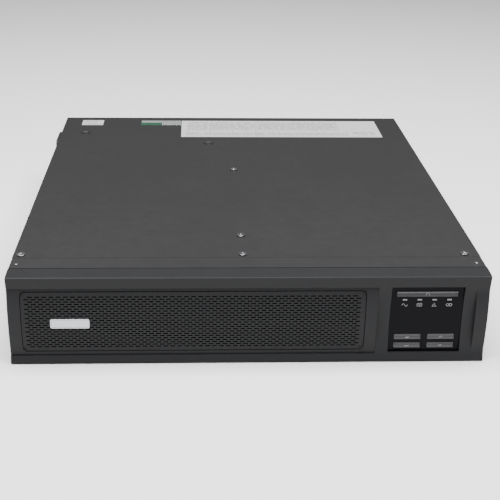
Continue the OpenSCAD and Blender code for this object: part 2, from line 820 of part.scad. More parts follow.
module display_lens() {
    color([0.06, 0.06, 0.07]) difference() {
        box(display_left, display_right, lens_y, housing_y, display_low, display_high);
        for (k = soft_keys) box(k[0] - key_w / 2 - fit_gap, k[0] + key_w / 2 + fit_gap, lens_y - 1,
            housing_y + 1, k[1] - key_h / 2 - fit_gap, k[1] + key_h / 2 + fit_gap);
        box(power_bar[0] - fit_gap, power_bar[0] + power_bar[2] + fit_gap, lens_y - 1, housing_y + 1,
            power_bar[1] - fit_gap, power_bar[1] + power_bar[3] + fit_gap);
        for (x = light_xs) box(x - 2, x + 2, lens_y - 1, housing_y + 1, light_z - 0.7, light_z + 0.7);
    }
}

module status_lights() {
    color([0.3, 0.35, 0.3]) for (x = light_xs)
        box(x - 2, x + 2, lens_y - 0.2, housing_y + 3.4, light_z - 0.7, light_z + 0.7);
}

module lcd_panel() {
    color([0.1, 0.12, 0.12])
        box(display_left + 5.4, display_right - 5.4, housing_y, housing_y + 3.4, lcd_low, lcd_high);
}

module display_board() {
    color("darkgreen") box(display_left + 3, display_right - 3, housing_y + 6.2, housing_y + 7.8,
        display_low + 3, display_high - 3);
}

// A key with a wider foot behind the lens that keeps it in
module key(x0, z0, w, h) {
    color([0.2, 0.2, 0.21]) {
        box(x0, x0 + w, lens_y - key_proud, housing_y + 4, z0, z0 + h);
        box(x0 - 0.7, x0 + w + 0.7, housing_y + fit_gap, housing_y + 2, z0 - 0.7, z0 + h + 0.7);
    }
}

module power_button() {
    key(power_bar[0], power_bar[1], power_bar[2], power_bar[3]);
}

module soft_key(i) {
    key(soft_keys[i][0] - key_w / 2, soft_keys[i][1] - key_h / 2, key_w, key_h);
}

module escape_button() {
    soft_key(0);
}

module up_button() {
    soft_key(1);
}

module enter_button() {
    soft_key(2);
}

module down_button() {
    soft_key(3);
}

base_tray();
front_frame();
rear_panel();
top_cover();
bay_wall();
side_lug();
cover_screws();
recessed_screws();
frame_rivets();
rear_screws();
rating_label();
serial_label();
seal_sticker();
main_board();
heat_sinks();
power_transistors();
capacitors();
relays();
inductors();
transformer_core();
transformer_coils();
transformer_bracket();
connector_socket();
battery_leads();
display_ribbon();
fan_frame();
fan_guard();
fan_rotor();
power_inlet();
outlet_bank_left();
outlet_bank_right();
breaker_body();
breaker_button();
slot_cover();
usb_port();
serial_port();
epo_terminal();
bezel();
grille_panel();
badge();
battery_door();
thumb_screw_left();
thumb_screw_right();
battery_tray();
battery_block_1();
battery_block_2();
battery_block_3();
battery_block_4();
battery_links();
pull_strap();
display_housing();
display_lens();
lcd_panel();
display_board();
status_lights();
power_button();
escape_button();
up_button();
enter_button();
down_button();
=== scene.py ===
"""The looks of a two-unit rack and tower uninterruptible power supply, modelled around its packed frame."""

import math

import bmesh
import bpy
from bpy.props import FloatProperty, FloatVectorProperty, IntProperty, PointerProperty
from mathutils import Matrix, Vector


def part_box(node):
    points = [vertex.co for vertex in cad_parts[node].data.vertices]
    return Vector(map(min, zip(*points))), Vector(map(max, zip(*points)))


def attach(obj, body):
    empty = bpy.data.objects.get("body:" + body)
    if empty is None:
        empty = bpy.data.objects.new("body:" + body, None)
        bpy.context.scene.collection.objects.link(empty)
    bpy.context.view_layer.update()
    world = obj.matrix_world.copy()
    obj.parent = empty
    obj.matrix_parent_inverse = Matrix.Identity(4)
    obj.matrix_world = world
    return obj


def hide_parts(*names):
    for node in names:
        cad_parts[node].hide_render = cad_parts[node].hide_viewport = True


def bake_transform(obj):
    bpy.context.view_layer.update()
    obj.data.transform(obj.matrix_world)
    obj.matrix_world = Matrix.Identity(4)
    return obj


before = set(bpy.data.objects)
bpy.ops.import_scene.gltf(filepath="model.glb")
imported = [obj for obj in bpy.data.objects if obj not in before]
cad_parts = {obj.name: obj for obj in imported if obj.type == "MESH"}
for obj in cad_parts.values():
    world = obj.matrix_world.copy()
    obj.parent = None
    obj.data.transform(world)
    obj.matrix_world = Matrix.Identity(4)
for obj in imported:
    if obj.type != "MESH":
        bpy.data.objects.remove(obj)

bl_info = {
    "name": "Rack power supply",
    "version": (1, 0, 0),
    "blender": (4, 5, 0),
    "location": "View3D > Sidebar > Power Supply",
    "description": "Models the pieces and finishes of a rack-mounted uninterruptible power supply",
    "category": "Object",
}

MM = 0.001
SIDEBAR = "Power Supply"


# --- Selection and mesh helpers -------------------------------------------------------------


def deselect():
    bpy.ops.object.select_all(action="DESELECT")


def activate(piece):
    deselect()
    piece.select_set(True)
    bpy.context.view_layer.objects.active = piece


def enter_edit(piece, kind="FACE"):
    """Opens a piece in edit mode with nothing selected."""
    activate(piece)
    bpy.ops.object.mode_set(mode="EDIT")
    bpy.ops.mesh.select_mode(type=kind)
    bpy.ops.mesh.select_all(action="DESELECT")


def leave_edit():
    bpy.ops.object.mode_set(mode="OBJECT")


def select_where(piece, kind, test):
    """Selects the faces, edges or points of the open piece that pass a test on their centre and normal."""
    shape = bmesh.from_edit_mesh(piece.data)
    for point in shape.verts:
        point.select_set(False)
    for edge in shape.edges:
        edge.select_set(False)
    for face in shape.faces:
        face.select_set(False)
    chosen = 0
    if kind == "FACE":
        for face in shape.faces:
            if test(face.calc_center_median(), face.normal):
                face.select_set(True)
                chosen += 1
    elif kind == "EDGE":
        for edge in shape.edges:
            a, b = edge.verts
            if test((a.co + b.co) / 2, (b.co - a.co).normalized()):
                edge.select_set(True)
                chosen += 1
    else:
        for point in shape.verts:
            if test(point.co, point.normal):
                point.select_set(True)
                chosen += 1
    if not chosen:
        raise RuntimeError(f"{piece.name}: nothing matches the selection")
    shape.select_flush_mode()
    bmesh.update_edit_mesh(piece.data)


def apply_modifier(piece, kind, **settings):
    modifier = piece.modifiers.new(kind.title(), kind)
    for key, value in settings.items():
        setattr(modifier, key, value)
    activate(piece)
    bpy.ops.object.modifier_apply(modifier=modifier.name)


def place(piece):
    """Moves a piece's place, turn and scale into its mesh."""
    activate(piece)
    bpy.ops.object.transform_apply(location=True, rotation=True, scale=True)


def block(name, low, high):
    """A box between two corners."""
    deselect()
    low, high = Vector(low), Vector(high)
    bpy.ops.mesh.primitive_cube_add(size=1, location=(low + high) / 2)
    piece = bpy.context.object
    piece.name = name
    piece.scale = high - low
    place(piece)
    return piece


def soften(piece, width, segments=2, angle=30):
    """Rounds every edge sharper than an angle."""
    apply_modifier(
        piece, "BEVEL", width=width, segments=segments, limit_method="ANGLE",
        angle_limit=math.radians(angle), use_clamp_overlap=True, harden_normals=False,
    )


def smooth(piece, angle=35):
    activate(piece)
    bpy.ops.object.shade_smooth_by_angle(angle=math.radians(angle))


def join(name, pieces):
    deselect()
    for piece in pieces:
        piece.select_set(True)
    bpy.context.view_layer.objects.active = pieces[0]
    if len(pieces) > 1:
        bpy.ops.object.join()
    pieces[0].name = name
    return pieces[0]


def duplicate(piece, name):
    twin = piece.copy()
    twin.data = piece.data.copy()
    twin.name = name
    bpy.context.collection.objects.link(twin)
    return twin


def shift(piece, offset):
    piece.location = Vector(offset)
    place(piece)
    return piece


def cut(piece, cutters):
    """Cuts each cutter out of the piece and removes it."""
    for cutter in cutters:
        apply_modifier(piece, "BOOLEAN", operation="DIFFERENCE", solver="EXACT", object=cutter)
        bpy.data.objects.remove(cutter)


def plate_xz(name, x0, x1, z0, z1, y0, y1, radius, segments=6):
    """A plate that stands across the front, with rounded corners."""
    piece = block(name, (x0, y0, z0), (x1, y1, z1))
    enter_edit(piece, "EDGE")
    select_where(piece, "EDGE", lambda c, d: abs(d.y) > 0.9)
    bpy.ops.mesh.bevel(offset=radius, segments=segments, affect="EDGES")
    leave_edit()
    return piece


def recalculate(piece):
    enter_edit(piece)
    bpy.ops.mesh.select_all(action="SELECT")
    bpy.ops.mesh.remove_doubles(threshold=0.00001)
    bpy.ops.mesh.normals_make_consistent(inside=False)
    leave_edit()


def face_forward(piece):
    """Turns the faces of a sheet so that they look towards the front."""
    recalculate(piece)
    if sum(face.normal.y * face.area for face in piece.data.polygons) > 0:
        enter_edit(piece)
        bpy.ops.mesh.select_all(action="SELECT")
        bpy.ops.mesh.flip_normals()
        leave_edit()


def copy_of(node, name):
    """A merged copy of a part of the frame, ready to be worked on."""
    piece = duplicate(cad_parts[node], name)
    piece.parent = None
    piece.matrix_world = Matrix.Identity(4)
    enter_edit(piece, "VERT")
    bpy.ops.mesh.select_all(action="SELECT")
    bpy.ops.mesh.remove_doubles(threshold=0.000005)
    bpy.ops.mesh.dissolve_limited(angle_limit=math.radians(0.4))
    leave_edit()
    return piece


def finish_piece(piece, body, finish, replaced=(), edge_angle=35):
    """Gives a piece its finish, body and material slot, and hides what it stands for."""
    smooth(piece, edge_angle)
    apply_modifier(piece, "WEIGHTED_NORMAL", keep_sharp=True)
    piece.data.materials.clear()
    piece.data.materials.append(finish())
    if body:
        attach(piece, body)
    nodes = [replaced] if isinstance(replaced, str) else list(replaced)
    if nodes:
        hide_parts(*nodes)
    return piece


def refined(node, name, body, finish, width=0.3 * MM, segments=2):
    """A copy of a part of the frame with its edges rounded."""
    piece = copy_of(node, name)
    soften(piece, width, segments)
    return finish_piece(piece, body, finish, node)


# --- Shader groups --------------------------------------------------------------------------


def new_group(name, inputs, outputs):
    """An empty shader group with named sockets, and whether it still has to be filled."""
    if name in bpy.data.node_groups:
        return bpy.data.node_groups[name], None, None
    tree = bpy.data.node_groups.new(name, "ShaderNodeTree")
    for label, kind, default in inputs:
        socket = tree.interface.new_socket(label, in_out="INPUT", socket_type=kind)
        if default is not None:
            socket.default_value = default
    for label, kind in outputs:
        tree.interface.new_socket(label, in_out="OUTPUT", socket_type=kind)
    return tree, tree.nodes.new("NodeGroupInput"), tree.nodes.new("NodeGroupOutput")


def wire(tree, source, target):
    tree.links.new(source, target)


def math_node(tree, operation, a, b=None, clamp=False):
    node = tree.nodes.new("ShaderNodeMath")
    node.operation = operation
    node.use_clamp = clamp
    for socket, value in zip(node.inputs, (a, b)):
        if value is None:
            continue
        if isinstance(value, (int, float)):
            socket.default_value = value
        else:
            tree.links.new(value, socket)
    return node.outputs[0]


def noise_node(tree, vector, scale, detail=2.0, rough=0.5):
    node = tree.nodes.new("ShaderNodeTexNoise")
    tree.links.new(vector, node.inputs["Vector"])
    if isinstance(scale, (int, float)):
        node.inputs["Scale"].default_value = scale
    else:
        tree.links.new(scale, node.inputs["Scale"])
    node.inputs["Detail"].default_value = detail
    node.inputs["Roughness"].default_value = rough
    return node.outputs["Fac"]


def grain_group():
    """Fine surface texture: a height for bump and a tone for colour, from a grain per metre."""
    tree, start, end = new_group(
        "fine_grain",
        [("Vector", "NodeSocketVector", None), ("Grain", "NodeSocketFloat", 900.0)],
        [("Height", "NodeSocketFloat"), ("Tone", "NodeSocketFloat")],
    )
    if start:
        fine = noise_node(tree, start.outputs["Vector"], start.outputs["Grain"], 3.0, 0.6)
        coarse_scale = math_node(tree, "MULTIPLY", start.outputs["Grain"], 0.31)
        coarse = noise_node(tree, start.outputs["Vector"], coarse_scale, 2.0)
        height = math_node(tree, "ADD", math_node(tree, "MULTIPLY", fine, 0.6),
                           math_node(tree, "MULTIPLY", coarse, 0.4))
        wire(tree, height, end.inputs["Height"])
        wire(tree, fine, end.inputs["Tone"])
    return tree


def handling_group():
    """Slow variation from handling and dust: a mask from nought to one."""
    tree, start, end = new_group(
        "handling_marks",
        [("Vector", "NodeSocketVector", None), ("Size", "NodeSocketFloat", 9.0)],
        [("Mask", "NodeSocketFloat")],
    )
    if start:
        broad = noise_node(tree, start.outputs["Vector"], start.outputs["Size"], 4.0, 0.55)
        small_scale = math_node(tree, "MULTIPLY", start.outputs["Size"], 11.0)
        small = noise_node(tree, start.outputs["Vector"], small_scale, 3.0, 0.6)
        mixed = math_node(tree, "MULTIPLY", broad, small)
        wire(tree, math_node(tree, "MULTIPLY", mixed, 2.4, clamp=True), end.inputs["Mask"])
    return tree


def brushed_group():
    """Long fine lines along X for rolled, plated or brushed metal."""
    tree, start, end = new_group(
        "rolled_lines",
        [("Vector", "NodeSocketVector", None), ("Lines", "NodeSocketFloat", 700.0)],
        [("Height", "NodeSocketFloat")],
    )
    if start:
        stretch = tree.nodes.new("ShaderNodeMapping")
        stretch.inputs["Scale"].default_value = (0.02, 1.0, 1.0)
        wire(tree, start.outputs["Vector"], stretch.inputs["Vector"])
        lines = noise_node(tree, stretch.outputs["Vector"], start.outputs["Lines"], 3.0, 0.6)
        wire(tree, lines, end.inputs["Height"])
    return tree


def print_group():
    """Rows of word-like dashes that say nothing: a mask of ink from nought to one."""
    tree, start, end = new_group(
        "greeked_rows",
        [("Vector", "NodeSocketVector", None), ("Row", "NodeSocketFloat", 0.002),
         ("Word", "NodeSocketFloat", 260.0), ("Fill", "NodeSocketFloat", 0.55)],
        [("Ink", "NodeSocketFloat")],
    )
    if start:
        split = tree.nodes.new("ShaderNodeSeparateXYZ")
        wire(tree, start.outputs["Vector"], split.inputs[0])
        rows = math_node(tree, "DIVIDE", split.outputs["Y"], start.outputs["Row"])
        index = math_node(tree, "FLOOR", rows)
        within = math_node(tree, "FRACT", rows)
        band = math_node(tree, "LESS_THAN", within, start.outputs["Fill"])
        along = math_node(tree, "MULTIPLY", split.outputs["X"], start.outputs["Word"])
        joined = tree.nodes.new("ShaderNodeCombineXYZ")
        wire(tree, along, joined.inputs["X"])
        wire(tree, math_node(tree, "MULTIPLY", index, 7.3), joined.inputs["Y"])
        words = noise_node(tree, joined.outputs[0], 1.0, 4.0, 0.75)
        dash = math_node(tree, "GREATER_THAN", words, 0.47)
        wire(tree, math_node(tree, "MULTIPLY", band, dash), end.inputs["Ink"])
    return tree


# --- Finishes -------------------------------------------------------------------------------


def surface(name, colour, roughness, metallic=0.0, coat=0.0, coat_roughness=0.1, specular=0.5):
    """A new material with its shader set, and the shader node. None if the material is already made."""
    name += "_finish"
    if name in bpy.data.materials:
        return bpy.data.materials[name], None
    material = bpy.data.materials.new(name)
    material.use_nodes = True
    shader = material.node_tree.nodes["Principled BSDF"]
    shader.inputs["Base Color"].default_value = (*colour, 1)
    shader.inputs["Roughness"].default_value = roughness
    shader.inputs["Metallic"].default_value = metallic
    shader.inputs["Coat Weight"].default_value = coat
    shader.inputs["Coat Roughness"].default_value = coat_roughness
    shader.inputs["Specular IOR Level"].default_value = specular
    return material, shader


def object_vector(tree):
    return tree.nodes.new("ShaderNodeTexCoord").outputs["Object"]


def use_group(tree, group, **values):
    node = tree.nodes.new("ShaderNodeGroup")
    node.node_tree = group
    for label, value in values.items():
        socket = node.inputs[label]
        if isinstance(value, bpy.types.NodeSocket):
            tree.links.new(value, socket)
        else:
            socket.default_value = value
    return node


def bump(tree, shader, height, distance, strength=1.0):
    node = tree.nodes.new("ShaderNodeBump")
    node.inputs["Strength"].default_value = strength
    node.inputs["Distance"].default_value = distance
    tree.links.new(height, node.inputs["Height"])
    tree.links.new(node.outputs["Normal"], shader.inputs["Normal"])


def between(tree, mask, low, high):
    """A value that runs from low to high with a mask."""
    node = tree.nodes.new("ShaderNodeMapRange")
    node.inputs["To Min"].default_value = low
    node.inputs["To Max"].default_value = high
    tree.links.new(mask, node.inputs["Value"])
    return node.outputs["Result"]


def blend_colours(tree, mask, first, second):
    """A colour between two, each a colour or another node's output."""
    node = tree.nodes.new("ShaderNodeMix")
    node.data_type = "RGBA"
    sockets = [s for s in node.inputs if s.type == "RGBA"]
    for socket, value in zip(sockets, (first, second)):
        if isinstance(value, bpy.types.NodeSocket):
            tree.links.new(value, socket)
        else:
            socket.default_value = (*value, 1)
    factor = next(s for s in node.inputs if s.type == "VALUE")
    tree.links.new(mask, factor)
    return next(s for s in node.outputs if s.type == "RGBA")


def tinted(colour, factor):
    return tuple(min(1.0, c * factor) for c in colour)


def grained(name, colour, roughness, grain, depth, variation=0.12, **shader_values):
    """A finish with a fine grain, a slight change of tone and handling marks in its gloss."""
    material, shader = surface(name, colour, roughness, **shader_values)
    if shader is None:
        return material
    tree = material.node_tree
    vector = object_vector(tree)
    fine = use_group(tree, grain_group(), Vector=vector, Grain=grain)
    marks = use_group(tree, handling_group(), Vector=vector, Size=8.0)
    tone = blend_colours(tree, fine.outputs["Tone"], tinted(colour, 1 - variation),
                         tinted(colour, 1 + variation))
    worn = blend_colours(tree, math_node(tree, "MULTIPLY", marks.outputs["Mask"], 0.35), tone,
                         tinted(colour, 1 + 2 * variation))
    tree.links.new(worn, shader.inputs["Base Color"])
    rough = between(tree, marks.outputs["Mask"], roughness - 0.05, roughness + 0.07)
    tree.links.new(rough, shader.inputs["Roughness"])
    bump(tree, shader, fine.outputs["Height"], depth)
    return material


def settings():
    return bpy.context.scene


def powder_coat():
    look = settings().case_look
    return grained("powder_coat", look.paint, 0.5, 1500.0, 0.00006, specular=0.3)


def zinc_sheet():
    material, shader = surface("zinc_sheet", (0.58, 0.59, 0.6), 0.38, metallic=1.0)
    if shader:
        tree = material.node_tree
        vector = object_vector(tree)
        spangle = tree.nodes.new("ShaderNodeTexVoronoi")
        spangle.inputs["Scale"].default_value = 160.0
        tree.links.new(vector, spangle.inputs["Vector"])
        cells = tree.nodes.new("ShaderNodeRGBToBW")
        tree.links.new(spangle.outputs["Color"], cells.inputs[0])
        lines = use_group(tree, brushed_group(), Vector=vector, Lines=900.0)
        tone = blend_colours(tree, cells.outputs[0], (0.5, 0.51, 0.53), (0.64, 0.65, 0.65))
        tree.links.new(tone, shader.inputs["Base Color"])
        tree.links.new(between(tree, cells.outputs[0], 0.3, 0.46), shader.inputs["Roughness"])
        bump(tree, shader, lines.outputs["Height"], 0.00002)
    return material


def bright_steel():
    material, shader = surface("bright_steel", (0.74, 0.74, 0.75), 0.24, metallic=1.0)
    if shader:
        tree = material.node_tree
        vector = object_vector(tree)
        marks = use_group(tree, handling_group(), Vector=vector, Size=60.0)
        tone = blend_colours(tree, marks.outputs["Mask"], (0.78, 0.78, 0.79), (0.6, 0.6, 0.61))
        tree.links.new(tone, shader.inputs["Base Color"])
        tree.links.new(between(tree, marks.outputs["Mask"], 0.18, 0.34), shader.inputs["Roughness"])
        bump(tree, shader, marks.outputs["Mask"], 0.00002)
    return material


def plated_screw():
    return grained("plated_screw", (0.3, 0.3, 0.31), 0.24, 900.0, 0.00002, variation=0.1, metallic=1.0)


def black_oxide():
    return grained("black_oxide", (0.02, 0.02, 0.021), 0.42, 1600.0, 0.00003, metallic=0.6)


def bezel_plastic():
    look = settings().front_look
    return grained("bezel_plastic", look.plastic, 0.46, 2300.0, 0.00004, variation=0.08, specular=0.15)


def grille_plastic():
    look = settings().front_look
    return grained("grille_plastic", tinted(look.plastic, 0.95), 0.5, 2300.0, 0.00004, variation=0.08,
                   specular=0.15)


def badge_plastic():
    return grained("badge_plastic", settings().front_look.badge, 0.3, 2600.0, 0.00001, variation=0.04,
                   coat=0.4)


def display_black():
    return grained("display_black", (0.01, 0.01, 0.011), 0.42, 2200.0, 0.00003, specular=0.2)


def lens_gloss():
    return grained("lens_gloss", settings().display_look.lens, 0.2, 900.0, 0.000004, variation=0.05,
                   specular=0.05)


def lcd_dark():
    return grained("lcd_dark", (0.012, 0.014, 0.013), 0.2, 1200.0, 0.000004, variation=0.05)


def key_plastic():
    return grained("key_plastic", settings().display_look.keys, 0.4, 2400.0, 0.00002, variation=0.06)


def light_pipe():
    return grained("light_pipe", settings().display_look.lights, 0.25, 1500.0, 0.00001, variation=0.05,
                   coat=0.6)


def print_grey():
    return grained("print_grey", settings().display_look.prints, 0.5, 2600.0, 0.00001, variation=0.05)


def fan_black():
    return grained("fan_black", (0.013, 0.013, 0.014), 0.48, 1400.0, 0.00004)


def socket_black():
    return grained("socket_black", (0.011, 0.011, 0.012), 0.36, 2000.0, 0.00003)


def battery_black():
    return grained("battery_black", (0.022, 0.022, 0.025), 0.5, 1100.0, 0.00007)


def component_black():
    return grained("component_black", (0.014, 0.014, 0.015), 0.55, 2600.0, 0.00003)


def capacitor_sleeve():
    return grained("capacitor_sleeve", (0.008, 0.012, 0.05), 0.28, 700.0, 0.00002, coat=0.5)


def relay_case():
    return grained("relay_case", (0.01, 0.03, 0.16), 0.4, 2000.0, 0.00002)


def connector_orange():
    return grained("connector_orange", (0.55, 0.14, 0.02), 0.45, 2000.0, 0.00003)


def lead_red():
    return grained("lead_red", (0.3, 0.012, 0.012), 0.4, 1500.0, 0.00003)


def terminal_green():
    return grained("terminal_green", (0.015, 0.2, 0.07), 0.42, 2000.0, 0.00003)


def sink_aluminium():
    material, shader = surface("sink_aluminium", (0.56, 0.57, 0.58), 0.4, metallic=1.0)
    if shader:
        tree = material.node_tree
        vector = object_vector(tree)
        lines = use_group(tree, brushed_group(), Vector=vector, Lines=1500.0)
        tone = blend_colours(tree, lines.outputs["Height"], (0.46, 0.47, 0.48), (0.66, 0.67, 0.68))
        tree.links.new(tone, shader.inputs["Base Color"])
        bump(tree, shader, lines.outputs["Height"], 0.00003)
    return material


def copper_winding():
    material, shader = surface("copper_winding", (0.5, 0.2, 0.08), 0.32, metallic=1.0)
    if shader:
        tree = material.node_tree
        vector = object_vector(tree)
        turns = tree.nodes.new("ShaderNodeTexWave")
        turns.bands_direction = "DIAGONAL"
        turns.inputs["Scale"].default_value = 150.0
        turns.inputs["Distortion"].default_value = 1.5
        tree.links.new(vector, turns.inputs["Vector"])
        tone = blend_colours(tree, turns.outputs["Fac"], (0.28, 0.1, 0.04), (0.62, 0.27, 0.12))
        tree.links.new(tone, shader.inputs["Base Color"])
        bump(tree, shader, turns.outputs["Fac"], 0.0003)
    return material


def core_steel():
    material, shader = surface("core_steel", (0.14, 0.14, 0.15), 0.5, metallic=0.7)
    if shader:
        tree = material.node_tree
        vector = object_vector(tree)
        sheets = tree.nodes.new("ShaderNodeTexWave")
        sheets.bands_direction = "Y"
        sheets.inputs["Scale"].default_value = 320.0
        sheets.inputs["Distortion"].default_value = 0.4
        tree.links.new(vector, sheets.inputs["Vector"])
        tone = blend_colours(tree, sheets.outputs["Fac"], (0.05, 0.05, 0.055), (0.2, 0.2, 0.21))
        tree.links.new(tone, shader.inputs["Base Color"])
        bump(tree, shader, sheets.outputs["Fac"], 0.0002)
    return material


def coil_tape():
    material, shader = surface("coil_tape", (0.42, 0.29, 0.06), 0.35)
    if shader:
        tree = material.node_tree
        vector = object_vector(tree)
        laps = tree.nodes.new("ShaderNodeTexWave")
        laps.bands_direction = "Z"
        laps.inputs["Scale"].default_value = 40.0
        laps.inputs["Distortion"].default_value = 0.8
        tree.links.new(vector, laps.inputs["Vector"])
        tone = blend_colours(tree, laps.outputs["Fac"], (0.32, 0.2, 0.03), (0.5, 0.37, 0.09))
        tree.links.new(tone, shader.inputs["Base Color"])
        bump(tree, shader, laps.outputs["Fac"], 0.0002)
    return material


def circuit_board():
    material, shader = surface("circuit_board", (0.012, 0.09, 0.03), 0.35, coat=0.3)
    if shader:
        tree = material.node_tree
        vector = object_vector(tree)
        tracks = use_group(tree, print_group(), Vector=vector, Row=0.0024, Word=70.0, Fill=0.35)
        pads = tree.nodes.new("ShaderNodeTexVoronoi")
        pads.inputs["Scale"].default_value = 210.0
        tree.links.new(vector, pads.inputs["Vector"])
        dots = math_node(tree, "LESS_THAN", pads.outputs["Distance"], 0.16)
        copper = blend_colours(tree, tracks.outputs["Ink"], (0.01, 0.075, 0.025), (0.02, 0.14, 0.05))
        tinned = blend_colours(tree, dots, copper, (0.5, 0.5, 0.48))
        tree.links.new(tinned, shader.inputs["Base Color"])
        bump(tree, shader, tracks.outputs["Ink"], 0.00004)
    return material


def ribbon_film():
    material, shader = surface("ribbon_film", (0.5, 0.51, 0.53), 0.45)
    if shader:
        tree = material.node_tree
        wires = tree.nodes.new("ShaderNodeTexWave")
        wires.bands_direction = "X"
        wires.inputs["Scale"].default_value = 250.0
        tree.links.new(object_vector(tree), wires.inputs["Vector"])
        tone = blend_colours(tree, wires.outputs["Fac"], (0.3, 0.31, 0.33), (0.58, 0.59, 0.6))
        tree.links.new(tone, shader.inputs["Base Color"])
        bump(tree, shader, wires.outputs["Fac"], 0.0003)
    return material


def strap_webbing():
    material, shader = surface("strap_webbing", (0.5, 0.4, 0.04), 0.8)
    if shader:
        tree = material.node_tree
        vector = object_vector(tree)
        weave = []
        for axis in ("X", "Z"):
            thread = tree.nodes.new("ShaderNodeTexWave")
            thread.bands_direction = axis
            thread.inputs["Scale"].default_value = 330.0
            tree.links.new(vector, thread.inputs["Vector"])
            weave.append(thread.outputs["Fac"])
        cloth = math_node(tree, "MULTIPLY", weave[0], weave[1])
        tone = blend_colours(tree, cloth, (0.3, 0.22, 0.015), (0.62, 0.5, 0.06))
        tree.links.new(tone, shader.inputs["Base Color"])
        bump(tree, shader, cloth, 0.0004)
    return material


def label_rect(tree, split, x0, x1, y0, y1):
    """A mask of the part of a label between two places along X and two along Y, in metres."""
    inside = math_node(tree, "MULTIPLY", math_node(tree, "GREATER_THAN", split.outputs["X"], x0),
                       math_node(tree, "LESS_THAN", split.outputs["X"], x1))
    across = math_node(tree, "MULTIPLY", math_node(tree, "GREATER_THAN", split.outputs["Y"], y0),
                       math_node(tree, "LESS_THAN", split.outputs["Y"], y1))
    return math_node(tree, "MULTIPLY", inside, across)


def printed_film(name, node, areas, ink=(0.17, 0.17, 0.18)):
    """Label film with rows of dashes.

    Each area is given in shares of the label, as (x0, x1, y0, y1, row, word).
    """
    material, shader = surface(name, settings().label_look.film, 0.42)
    if shader is None:
        return material
    tree = material.node_tree
    vector = object_vector(tree)
    split = tree.nodes.new("ShaderNodeSeparateXYZ")
    tree.links.new(vector, split.inputs[0])
    low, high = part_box(node)
    total = None
    for x0, x1, y0, y1, row, word in areas:
        place_in = label_rect(tree, split, low.x + x0 * (high.x - low.x), low.x + x1 * (high.x - low.x),
                              low.y + y0 * (high.y - low.y), low.y + y1 * (high.y - low.y))
        if row:
            rows = use_group(tree, print_group(), Vector=vector, Row=row, Word=word, Fill=0.5)
            place_in = math_node(tree, "MULTIPLY", place_in, rows.outputs["Ink"])
        total = place_in if total is None else math_node(tree, "MAXIMUM", total, place_in)
    marks = use_group(tree, handling_group(), Vector=vector, Size=14.0)
    film = blend_colours(tree, marks.outputs["Mask"], settings().label_look.film,
                         tinted(settings().label_look.film, 0.9))
    tree.links.new(blend_colours(tree, total, film, ink), shader.inputs["Base Color"])
    tree.links.new(between(tree, marks.outputs["Mask"], 0.36, 0.5), shader.inputs["Roughness"])
    bump(tree, shader, total, 0.00001)
    return material


def rating_film():
    cells = [(0.03 + 0.115 * i, 0.135 + 0.115 * i, 0.1, 0.28, 0.0042, 420.0) for i in range(7)]
    frames = [(0.025 + 0.115 * i, 0.028 + 0.115 * i, 0.06, 0.32, 0, 0) for i in range(8)]
    rules = [(0.025, 0.833, y, y + 0.006, 0, 0) for y in (0.06, 0.19, 0.32)]
    return printed_film("rating_film", "rating_label", [
        (0.03, 0.8, 0.42, 0.92, 0.0034, 330.0), (0.86, 0.97, 0.1, 0.3, 0.005, 300.0), *cells, *frames, *rules,
    ])


def serial_film():
    return printed_film("serial_film", "serial_label", [
        (0.08, 0.92, 0.1, 0.42, 0.0028, 500.0), (0.08, 0.7, 0.55, 0.9, 0.0024, 400.0),
    ])


def seal_foil():
    material, shader = surface("seal_foil", (0.66, 0.68, 0.68), 0.25, metallic=0.8)
    if shader:
        tree = material.node_tree
        vector = object_vector(tree)
        split = tree.nodes.new("ShaderNodeSeparateXYZ")
        tree.links.new(vector, split.inputs[0])
        low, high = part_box("seal_sticker")
        half_way = low + (high - low) * 0.52
        corner = label_rect(tree, split, low.x, half_way.x, low.y, half_way.y)
        facets = tree.nodes.new("ShaderNodeTexVoronoi")
        facets.inputs["Scale"].default_value = 420.0
        tree.links.new(vector, facets.inputs["Vector"])
        shimmer = blend_colours(tree, facets.outputs["Distance"], (0.5, 0.53, 0.55), (0.74, 0.75, 0.73))
        tree.links.new(blend_colours(tree, corner, shimmer, (0.03, 0.2, 0.1)), shader.inputs["Base Color"])
        bump(tree, shader, facets.outputs["Distance"], 0.00003)
    return material


def floor_card():
    material, shader = surface("floor_card", settings().stage_look.floor, 0.8)
    if shader:
        tree = material.node_tree
        fibres = use_group(tree, grain_group(), Vector=object_vector(tree), Grain=300.0)
        bump(tree, shader, fibres.outputs["Height"], 0.00002)
    return material


# --- Settings -------------------------------------------------------------------------------


class CaseLook(bpy.types.PropertyGroup):
    """The steel case."""

    paint: FloatVectorProperty(
        name="Paint", description="Colour of the powder coat", default=(0.0125, 0.0125, 0.0131),
        size=3, subtype="COLOR", min=0, max=1)
    bend: FloatProperty(
        name="Bend radius", description="Outer radius of the folded edges of the cover", default=1.1 * MM,
        min=0.3 * MM, max=1.15 * MM, unit="LENGTH")
    edge: FloatProperty(
        name="Edge rounding", description="Rounding of the cut edges of the sheet", default=0.2 * MM,
        min=0.05 * MM, max=0.4 * MM, unit="LENGTH")


